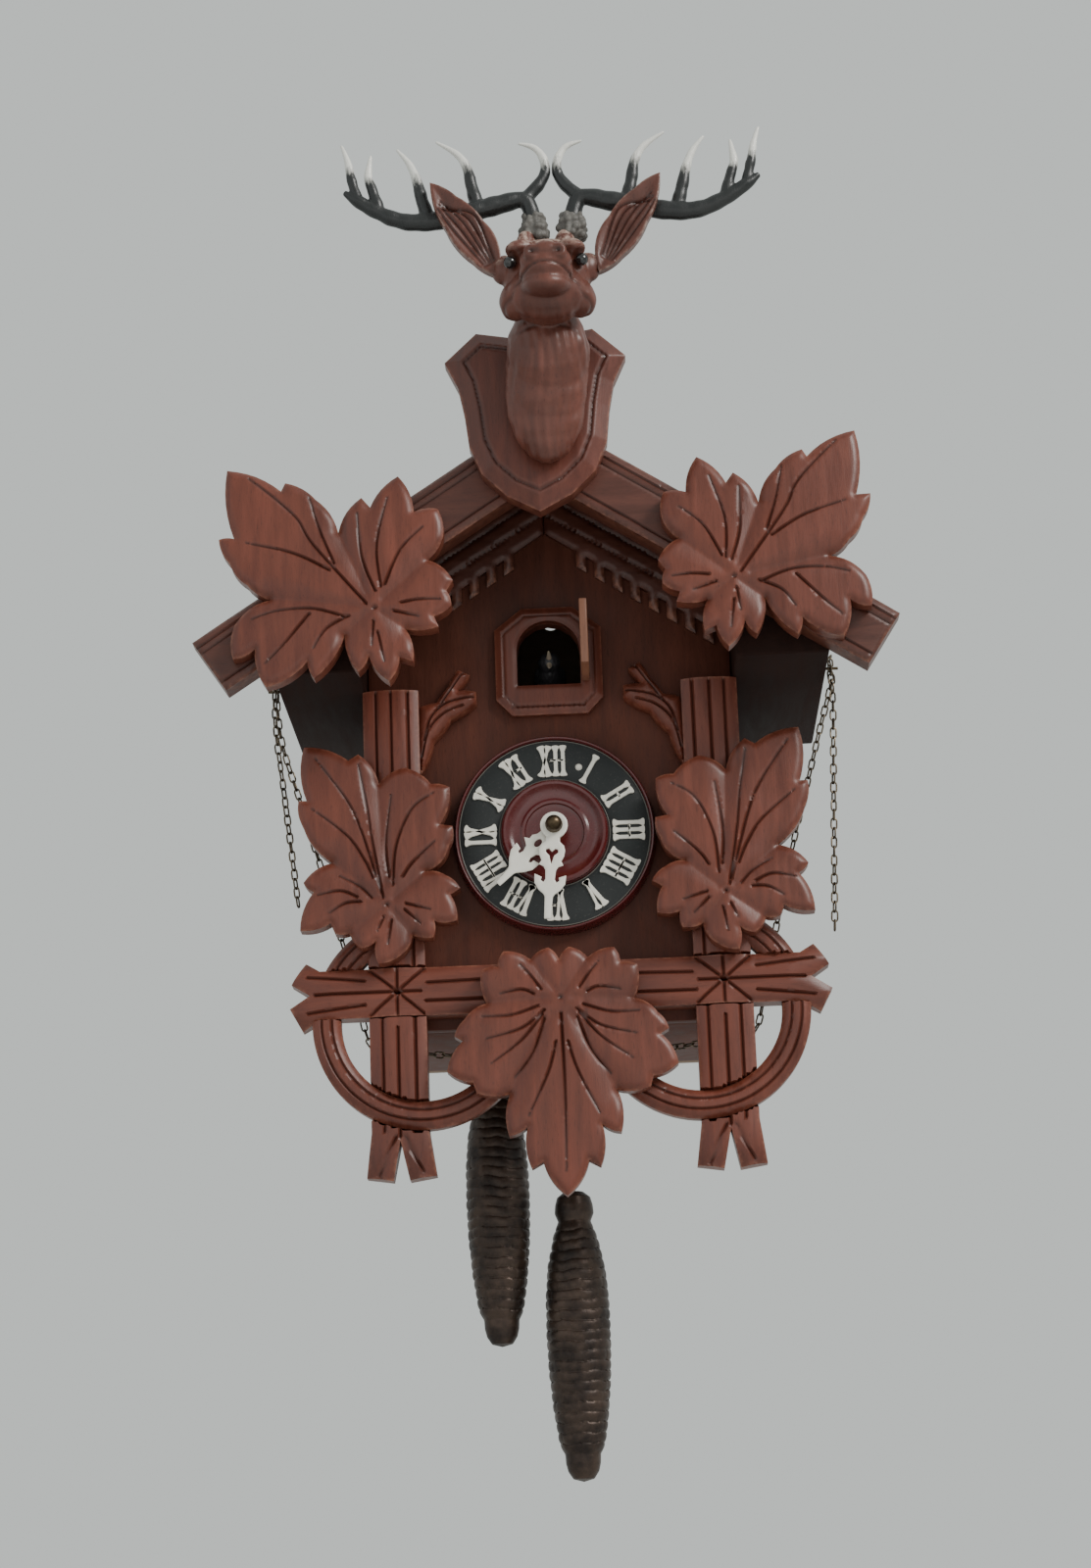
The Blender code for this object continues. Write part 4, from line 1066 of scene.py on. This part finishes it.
def tube_verts(points, radii, sides, parts, closed=False):
    """A round tube round a run of points, with rounded ends unless it closes on itself."""
    pts = np.array(points, float)
    if closed:
        way = np.roll(pts, -1, axis=0) - np.roll(pts, 1, axis=0)
    else:
        way = np.gradient(pts, axis=0)
    way /= np.maximum(np.linalg.norm(way, axis=1, keepdims=True), 1e-9)
    normal = np.cross(way[0], (0.3, 0.5, 0.81))
    normal /= np.linalg.norm(normal)
    verts, faces = parts
    start = len(verts)
    for k, (p, w) in enumerate(zip(pts, way)):
        normal = normal - w * np.dot(normal, w)
        normal /= np.linalg.norm(normal)
        other = np.cross(w, normal)
        for j in range(sides):
            a = 2 * math.pi * j / sides
            verts.append(tuple(p + radii[k] * (math.cos(a) * normal + math.sin(a) * other)))
    rows = len(pts)
    for k in range(rows if closed else rows - 1):
        a, b = start + k * sides, start + ((k + 1) % rows) * sides
        faces += [(a + j, a + (j + 1) % sides, b + (j + 1) % sides, b + j) for j in range(sides)]
    if not closed:
        faces.append(tuple(start + j for j in range(sides - 1, -1, -1)))
        last = start + (rows - 1) * sides
        faces.append(tuple(last + j for j in range(sides)))


def tube_piece(name, points, radius, finish, body, *nodes, sides=12):
    """A bent wire with rounded ends."""
    pts = smooth_line(points, 0.8)
    radii = [radius] * len(pts)
    for k in range(3):
        radii[k] = radii[-1 - k] = radius * (0.55, 0.85, 0.97)[k]
    parts = ([], [])
    tube_verts(pts, radii, sides, parts)
    mesh = mesh_from(name, [at(*v) for v in parts[0]], parts[1])
    return piece(name, mesh, finish, body, *nodes)


def stadium():
    """The line of one link's wire, lengthwise along x."""
    out = []
    for side in (1, -1):
        for k in range(LINK_ARC + 1):
            a = math.pi * k / LINK_ARC - math.pi / 2
            out.append((side * (LINK_STRAIGHT + LINK_R * math.cos(a)), side * LINK_R * math.sin(a)))
    return out


def chain(name, route, body, *nodes, twist=0.0):
    """Oval links, every other one turned a quarter, along a route of points."""
    line = np.array(smooth_line(route, 0.8))
    runs = np.concatenate([[0], np.cumsum(np.linalg.norm(np.diff(line, axis=0), axis=1))])
    count = int((runs[-1] - 2 * WIRE_R) // LINK_PITCH)
    normal = np.array([1.0, 0.15, 0.0])
    rng = np.random.default_rng(len(name) + count)
    parts = ([], [])
    for k in range(count):
        s = LINK_PITCH * (k + 0.5) + WIRE_R
        centre = np.array([np.interp(s, runs, line[:, i]) for i in range(3)])
        ends = [np.array([np.interp(s + d, runs, line[:, i]) for i in range(3)])
                for d in (-2.3, 2.3)]
        way = ends[1] - ends[0]
        way /= np.linalg.norm(way)
        normal = normal - way * np.dot(normal, way)
        normal /= np.linalg.norm(normal)
        other = np.cross(way, normal)
        a = twist + (k % 2) * math.pi / 2 + rng.normal(0, 0.16)
        side = math.cos(a) * normal + math.sin(a) * other
        wire = [centre + way * u + side * v for u, v in stadium()]
        tube_verts(wire, [WIRE_R] * len(wire), 7, parts, closed=True)
    mesh = mesh_from(name, [at(*v) for v in parts[0]], parts[1], weld=False)
    return piece(name, mesh, CHAIN, body, *nodes), line, float(runs[-1])


ROOF_END = {"left": 135.5, "right": 139.0}
TAIL_END = {"left": (-128.0, -36.0), "right": (136.0, -58.0)}
FREE_CHAIN = [
    (26.5, -60, -90), (28, -62, -99), (44, -74, -102), (62, -86, -102.5), (80, -96, -102),
    (95, -99, -99), (101, -101, -80), (106.5, -103, -56), (117, -107, -14),
    (128, -111, 25), (136, -114, 53),
]
HOOK = [(0, -1), (0, 4), (1.6, 6.4), (3, 9), (2.2, 12), (-0.4, 13.2), (-2.6, 12)]
OVER_NAIL = [(-116, 73), (-116, 81), (-120, 86.2), (-124, 81), (-124, 60)]

for side, sign in (("left", -1), ("right", 1)):
    body = side + "_weight"
    strand, top = WHEEL_X[side] - PITCH_R, WEIGHT_TOP[side]
    mesh = cone_mesh("cone_" + side, 1.0 + sign)
    mesh.transform(Matrix.Translation(at(strand, CHAIN_Y, top)) @ Matrix.Scale(MM, 4))
    piece("fir_cone_" + side, mesh, IRON, body, "weight_" + side, smooth=0)
    hook = [(strand + x, CHAIN_Y, top + rise) for x, rise in HOOK]
    tube_piece("hook_" + side, hook, 0.9, CHAIN, body, "weight_hook_" + side)
    chain("links_weight_" + side, [(strand, CHAIN_Y, top + 12), (strand, CHAIN_Y, WHEEL_H)], body,
          "weight_chain_" + side, twist=0.4)
    wheel_x = WHEEL_X[side]
    over = [(wheel_x + PITCH_R * math.cos(a), CHAIN_Y, WHEEL_H + 0.3 + PITCH_R * math.sin(a))
            for a in np.linspace(math.pi, 0, 9)]
    down = wheel_x + PITCH_R
    outside = sign * (ROOF_END[side] + 3)
    route = FREE_CHAIN if sign > 0 else flip(FREE_CHAIN)
    if sign < 0:
        route = [(down, CHAIN_Y, -88), (down - 2, CHAIN_Y - 2, -99), (-24, -69, -103),
                 (-36, -74, -103), *route[2:]]
    end_x, end_h = TAIL_END[side]
    tail = [(outside + (end_x - outside) * part, -124, 60 + (end_h - 60) * part)
            for part in (0.33, 0.67, 1)]
    route = [*over, (down, CHAIN_Y, -50), *route, *[(outside, y, h) for y, h in OVER_NAIL], *tail]
    links, line, long = chain("links_free_" + side, route, "case", "free_chain_" + side)
    softened("nail_" + side, "chain_nail_" + side, DARK_BRASS, width=0.2)


# ---------------------------------------------------------------- stag

HEAD_X, EAR_X, ANTLER_X = 8.0, 9.0, 12.0


def merged(name, verts, faces, voxel, smoothing):
    """One closed skin over overlapping solids."""
    mesh = bpy.data.meshes.new(name)
    mesh.from_pydata(verts, [], faces)
    thing = bpy.data.objects.new(name + "_solid", mesh)
    bpy.context.scene.collection.objects.link(thing)
    skin = thing.modifiers.new("skin", "REMESH")
    skin.mode = "VOXEL"
    skin.voxel_size = voxel
    soft = thing.modifiers.new("soft", "SMOOTH")
    soft.factor = 0.5
    soft.iterations = smoothing
    depsgraph = bpy.context.evaluated_depsgraph_get()
    out = bpy.data.meshes.new_from_object(thing.evaluated_get(depsgraph))
    bpy.data.objects.remove(thing)
    bpy.data.meshes.remove(mesh)
    out.name = name
    return out


def ellipsoid(centre, size, tilt, parts, rings=18, steps=28):
    """An ellipsoid about (x, y, height), tilted about the x axis by degrees."""
    spin = Matrix.Rotation(math.radians(tilt), 3, "X")
    verts, faces = parts
    start = len(verts)
    for k in range(rings + 1):
        t = math.pi * k / rings
        for j in range(steps):
            a = 2 * math.pi * j / steps
            p = spin @ Vector((size[0] * math.sin(t) * math.cos(a),
                               size[1] * math.sin(t) * math.sin(a), size[2] * math.cos(t)))
            verts.append(tuple(Vector(centre) + p))
    for k in range(rings):
        for j in range(steps):
            i = (j + 1) % steps
            a, b = start + k * steps, start + (k + 1) * steps
            faces.append((a + j, b + j, b + i, a + i))


def coordinates(mesh):
    """The places of a mesh's vertices."""
    co = np.empty(len(mesh.vertices) * 3)
    mesh.vertices.foreach_get("co", co)
    return co.reshape(-1, 3)


def normals(mesh):
    """The normals of a mesh's vertices."""
    no = np.empty(len(mesh.vertices) * 3)
    mesh.vertices.foreach_get("normal", no)
    return no.reshape(-1, 3)


def store(mesh, **layers):
    """Keep named values on the vertices for the material."""
    for label, values in layers.items():
        layer = mesh.attributes.new(label, "FLOAT", "POINT")
        layer.data.foreach_set("value", np.asarray(values, np.float32))


def finish_shape(mesh, co):
    """Put the vertices in place, and turn millimetres into metres."""
    mesh.vertices.foreach_set("co", co.ravel())
    mesh.transform(Matrix.Translation((0, 0, DIAL_Z * MM)) @ Matrix.Scale(MM, 4))
    mesh.update()


def stag_head():
    """The stag's head and neck, with its eyes."""
    parts = ([], [])
    x = HEAD_X
    solids = [
        ((x - 3, -204, 204), (20.0, 13, 37), 4), ((x - 1, -212, 220), (20.5, 17, 26), 12),
        ((x - 2, -207.5, 211), (20.4, 14.6, 33), 8),
        ((x, -231, 252), (21.5, 17, 19), 0), ((x, -237, 240), (20.0, 18, 14.5), 20),
        ((x, -249, 246), (13.2, 17, 11.5), 0), ((x, -258, 248.5), (12.4, 7.0, 7.8), 0),
        ((x, -251, 238.5), (12.0, 13, 6.6), 10), ((x, -262, 252), (7.0, 4.5, 4.4), 0),
    ]
    for s in (-1, 1):
        solids += [((x + s * 12, -243, 261), (7.5, 7, 5.0), 0),
                   ((x + s * 20, -232, 256), (6.5, 6, 7.5), 0),
                   ((x + s * 9.5, -226, 270), (5.5, 5.5, 9), 0),
                   ((x + s * 16, -234, 238), (7.5, 10, 9), 0),
                   ((x + s * 6.4, -262.5, 250.5), (4.4, 4.2, 4.6), 0)]
    for centre, size, tilt in solids:
        ellipsoid(centre, size, tilt, parts)
    mesh = merged("stag_carved", *parts, 0.8, 5)
    co, no = coordinates(mesh), normals(mesh)
    push = wave(co[:, [0, 2]], 7, 81, 0.5) + wave(co[:, [1, 2]], 5, 82, 0.35)
    patchy = 0.6 + wave(co[:, [0, 2]], 11, 84, 0.4)
    strokes = np.sin(co[:, 0] * 1.3 + 2.6 * np.sin(co[:, 2] * 0.11 + co[:, 0] * 0.07)) * np.clip(
        (236 - co[:, 2]) / 12, 0, 1) * np.clip(patchy, 0, 1)
    push += 0.34 * strokes
    # painted shade in the hair strokes
    dark = np.clip(-strokes - 0.4, 0, 1) * 0.4
    for s in (-1, 1):
        eye = np.linalg.norm(co - np.array([x + s * 19.0, -246.0, 254.5]), axis=1)
        push -= 3.0 * fade(eye, 6.5)
        # painted shade in the eye sockets
        dark = np.maximum(dark, fade(eye, 7.0))
        brow = np.linalg.norm((co - np.array([x + s * 16, -248, 260.5])) / (7, 6, 2.6), axis=1)
        push += 1.6 * np.clip(1 - brow, 0, 1)
        nostril = np.linalg.norm((co - np.array([x + s * 6.2, -266.0, 250.5])) / (1, 1.6, 0.8),
                                 axis=1)
        push -= 2.8 * fade(nostril, 3.4)
        # painted shade in the nostrils
        dark = np.maximum(dark, np.clip(1.25 - nostril / 3.4, 0, 1))
    front = np.clip((-co[:, 1] - 244) / 6, 0, 1)
    lips = fade(np.abs(co[:, 2] - 245 + 0.02 * (co[:, 0] - x) ** 2), 1.0) * front
    push -= 1.2 * lips
    # painted shade along the mouth line
    dark = np.maximum(dark, 0.75 * lips)
    cheek = fade(np.abs(co[:, 2] - 232 + 0.5 * (co[:, 1] + 236)), 2.0) * np.clip(
        (co[:, 1] + 250) / 6, 0, 1) * np.clip((-222 - co[:, 1]) / 5, 0, 1)
    push -= 0.8 * cheek
    # painted shade in the crease along the cheek
    dark = np.maximum(dark, 0.6 * cheek)
    # painted shade on the downward faces under the muzzle and jaw
    dark = np.maximum(dark, 0.55 * np.clip(-no[:, 2] - 0.2, 0, 1) * front)
    # pale colour on the upward faces at the top of the head: wear, with a painted sheen from the light
    # above
    worn = np.clip((co[:, 2] - 254) / 14, 0, 1) * np.clip(no[:, 2] + 0.6, 0, 1)
    co = co + no * push[:, None]
    co[:, 1] = np.minimum(co[:, 1], -193.5)
    finish_shape(mesh, co)
    store(mesh, carve=dark, worn=np.clip(worn * 1.1, 0, 1))
    piece("stag_head_carved", mesh, HEAD_WOOD, "case", "stag_head", smooth=0)
    for s in (-1, 1):
        parts = ([], [])
        ellipsoid((x + s * 17.4, -244.6, 254.3), (3.1, 3.1, 3.1), 0, parts, 16, 24)
        mesh = mesh_from("eye", [at(*v) for v in parts[0]], parts[1])
        piece("stag_eye_" + ("left" if s < 0 else "right"), mesh, EYE, "case", smooth=0)


def ear(side, sign):
    """One ear, grooved on the inside."""
    shape = [(22, 252), (34, 260), (47, 278), (54, 303), (41, 295), (28, 281), (21, 268)]
    outline = bowed([(sign * (x + 2.5) + EAR_X, h) for x, h in shape], 0.07, 5.0)
    root, tip = (26, 259), (53, 301)
    runs = []
    for part in np.linspace(-0.75, 0.75, 5):
        mid = (38 + 7 * part, 281 - 5 * part)
        runs.append(smooth_line([(sign * (px + 2.5) + EAR_X, h) for px, h in (
            (root[0] + 3 * part, root[1] - 2 * part), mid,
            (tip[0] - 4 + 2 * part, tip[1] - 8 - abs(part) * 6))]))

    def surface(points, edge):
        drop = 0.2 + 2.0 * np.clip(edge / 6, 0, 1) + 0.8 * fade(edge, 1.3) ** 2
        # painted shade deepening into the hollow of the ear, and in its grooves
        dark = 0.35 * np.clip(edge / 7, 0, 1)
        dark = np.maximum(dark, engrave(drop, points, runs, 1.3, 1.1, 0.85, 1, 0.3))
        return drop, dark, fade(edge, 1.0) * 0.4

    carved("ear_carved_" + side, [outline], -236.2, -230.3, surface, HEAD_WOOD, "case",
           "ear_" + side, step=0.8, creases=[(run, 1.1) for run in runs])


BEAM = [
    (9.4, 286, 3.6), (13.7, 297, 3.4), (26.5, 294.6, 4.0), (36.5, 292, 4.0), (46.5, 289, 4.0),
    (60.8, 286, 3.8), (73.6, 286.3, 3.4), (85, 291, 3.0), (95, 297, 2.6), (102, 302, 1.0),
]
THICKER = 1.22
TINES = [
    [(14, 297, 3.0), (6.6, 305, 2.6), (3, 312, 2.2), (3.7, 319.5, 1.8), (8, 325.4, 1.3),
     (15.8, 327.8, 0.6)],
    [(36.5, 292, 3.0), (39.4, 305, 2.6), (41.5, 315, 2.0), (46.5, 322.5, 1.4), (56.5, 329, 0.6)],
    [(60.8, 286, 3.0), (64.4, 300, 2.6), (66.5, 309, 2.0), (70, 317.5, 1.4), (75.8, 325, 0.6)],
    [(85, 291, 2.8), (87.9, 302.5, 2.2), (90, 309.7, 1.8), (89.3, 316.8, 1.2), (88.6, 322, 0.6)],
    [(95, 297, 2.2), (98.2, 308.6, 2.0), (100, 318.6, 1.4), (102.9, 327.6, 0.6)],
]


def horn():
    """Dark moulded antler that turns pale towards the ends of its tines."""
    n = Nodes("antler_horn")
    mottle = n.noise(n.place, 420.0, 5.0, 0.6)
    grain = n.noise(n.scaled((30, 30, 8)), 30.0, 5.0, 0.6)
    dark = n.mix(mottle, (0.004, 0.005, 0.005), (0.016, 0.018, 0.018))
    pale = n.mix(mottle, (0.62, 0.61, 0.56), (0.80, 0.79, 0.74))
    tip = n.node("ShaderNodeAttribute", attribute_name="tip").outputs["Fac"]
    mixed = n.math("ADD", tip, n.math("MULTIPLY", n.math("SUBTRACT", grain, 0.5), 0.3))
    blend = n.ramp(mixed, [(0.44, 0.0), (0.60, 1.0)])
    n.set(Base_Color=n.mix(blend, dark, pale), Roughness=0.4, Coat_Weight=0.1,
          Normal=n.bump(grain, 0.0005, 0.35))
    return n.mat


ANTLER = horn()


def antler(side, sign):
    """One antler, and the rough burr at its foot."""
    parts, marks = ([], []), []
    for index, run in enumerate([BEAM, *TINES]):
        points = [(sign * x + ANTLER_X, -222 - 0.08 * x, h, r) for x, h, r in run]
        line = smooth_line(points, 1.0)
        radii = [max(THICKER * p[3], 0.5) * (1 + 0.03 * math.sin(k * 0.7 + index))
                 for k, p in enumerate(line)]
        tube_verts([p[:3] for p in line], radii, 14, parts)
        for k, p in enumerate(line):
            marks.append((*p[:3], k / (len(line) - 1) if index else 0.0))
    base = (sign * 9.4 + ANTLER_X, -222.6, 284)
    ellipsoid(base, (4.4, 4.4, 8), 0, parts, 12, 18)
    mesh = merged("antler_skin_" + side, *parts, 0.55, 3)
    co = coordinates(mesh)
    marks = np.array(marks)
    tip = np.empty(len(co))
    for start in range(0, len(co), 4000):
        block = co[start:start + 4000]
        far = np.linalg.norm(block[:, None, :] - marks[None, :, :3], axis=2)
        tip[start:start + 4000] = marks[np.argmin(far, axis=1), 3]
    co += normals(mesh) * wave(co[:, [0, 2]], 2.4, 91, 0.22)[:, None] * (tip < 0.4)[:, None]
    finish_shape(mesh, co)
    store(mesh, tip=tip)
    piece("antler_horn_" + side, mesh, ANTLER, "case", "antler_" + side, smooth=0)
    parts = ([], [])
    rng = np.random.default_rng(5 + sign)
    for level, spread in ((277.0, 5.9), (280.5, 6.3), (284.0, 5.4), (287.0, 4.5)):
        for k in range(9):
            a = 2 * math.pi * (k + rng.uniform(-0.3, 0.3)) / 9
            size = rng.uniform(1.5, 2.5)
            ellipsoid((base[0] + spread * math.cos(a), base[1] + spread * 0.9 * math.sin(a),
                       level + rng.uniform(-1, 1)), (size, size, size), 0, parts, 6, 8)
    ellipsoid((base[0], base[1], 281), (6.2, 5.6, 7.5), 0, parts, 12, 18)
    mesh = merged("burr_" + side, *parts, 0.6, 2)
    finish_shape(mesh, coordinates(mesh))
    piece("antler_burr_" + side, mesh, BURR, "case", smooth=0)


stag_head()
for side, sign in (("left", -1), ("right", 1)):
    ear(side, sign)
    antler(side, sign)


# ---------------------------------------------------------------- bird, door, inside

def bird():
    """The painted cuckoo, its open beak and its rod."""
    parts = ([], [])
    for centre, size, tilt in (
            ((0, -88, 90), (7.0, 13, 7.0), -24), ((0, -97.5, 97), (5.6, 6.2, 5.6), 0),
            ((0, -77, 84), (4.0, 9, 2.2), -24), ((6.0, -86, 91), (2.2, 9, 4.6), -24),
            ((-6.0, -86, 91), (2.2, 9, 4.6), -24)):
        ellipsoid(centre, size, tilt, parts)
    mesh = merged("cuckoo_painted", *parts, 0.6, 3)
    co = coordinates(mesh)
    co += normals(mesh) * (0.18 * np.sin(co[:, 1] * 2.4) * np.cos(co[:, 0] * 1.8))[:, None]
    finish_shape(mesh, co)
    piece("cuckoo_painted", mesh, FEATHER, "bird", "cuckoo_bird", smooth=0)
    parts = ([], [])
    for rise, drop in ((97.8, 100.0), (95.4, 91.0)):
        line = smooth_line([(0, -101, rise), (0, -105, (rise + drop) / 2), (0, -109.5, drop)], 0.6)
        radii = np.linspace(1.9, 0.3, len(line))
        tube_verts(line, radii, 12, parts)
    piece("cuckoo_beak", mesh_from("cuckoo_beak", [at(*v) for v in parts[0]], parts[1]), BEAK,
          "bird")
    tube_piece("bird_rod", [(0, -98, 80.5), (0, -74, 80.5), (0, -50, 80.5)], 1.5, DARK_BRASS,
               "bird", "bird_arm")


bird()
softened("door_leaf", "cuckoo_door", DOOR_WOOD, "door", width=0.6)
for side in ("left", "right"):
    softened("whistle_box_" + side, "whistle_" + side, PLY)
    softened("bellows_lid_" + side, "bellows_top_" + side, PLY, side + "_bellows")
    bpy.data.objects["chain_wheel_" + side].material_slots[0].material = BRASS
for node in ("cannon_pinion", "minute_wheel", "hour_wheel", "movement_front_plate",
             "movement_back_plate"):
    bpy.data.objects[node].material_slots[0].material = BRASS


# ---------------------------------------------------------------- floor and light

def floor_and_light():
    """The plain floor, three soft lamps and the studio's background."""
    mesh = bpy.data.meshes.new("floor")
    mesh.from_pydata([(-6, -6, -1.4), (6, -6, -1.4), (6, 6, -1.4), (-6, 6, -1.4)], [],
                     [(0, 1, 2, 3)])
    floor = bpy.data.objects.new("floor", mesh)
    bpy.context.scene.collection.objects.link(floor)
    mesh.materials.append(plastic("floor_paint", (0.66, 0.67, 0.66), (0.70, 0.71, 0.70), 0.8,
                                  scale=4.0))
    for name, place, aim, size, power, colour in (
            ("key", (2.1, -1.8, 1.6), (0, 0, -0.15), 1.1, 82, (1.0, 0.98, 0.95)),
            ("fill", (-1.8, -1.8, 0.1), (0, 0, -0.15), 2.4, 7, (0.95, 0.97, 1.0)),
            ("low", (0.2, -2.6, -0.7), (0, 0, -0.2), 2.0, 7, (1.0, 0.97, 0.95))):
        data = bpy.data.lights.new(name, "AREA")
        data.size, data.energy, data.color = size, power, colour
        lamp = bpy.data.objects.new(name, data)
        lamp.location = place
        lamp.rotation_euler = (Vector(aim) - Vector(place)).to_track_quat("-Z", "Y").to_euler()
        bpy.context.scene.collection.objects.link(lamp)
    world = bpy.data.worlds.new("studio")
    world.use_nodes = True
    sky = world.node_tree.nodes["Background"]
    sky.inputs["Color"].default_value = (0.80, 0.84, 0.82, 1)
    sky.inputs["Strength"].default_value = 0.82
    bpy.context.scene.world = world


floor_and_light()
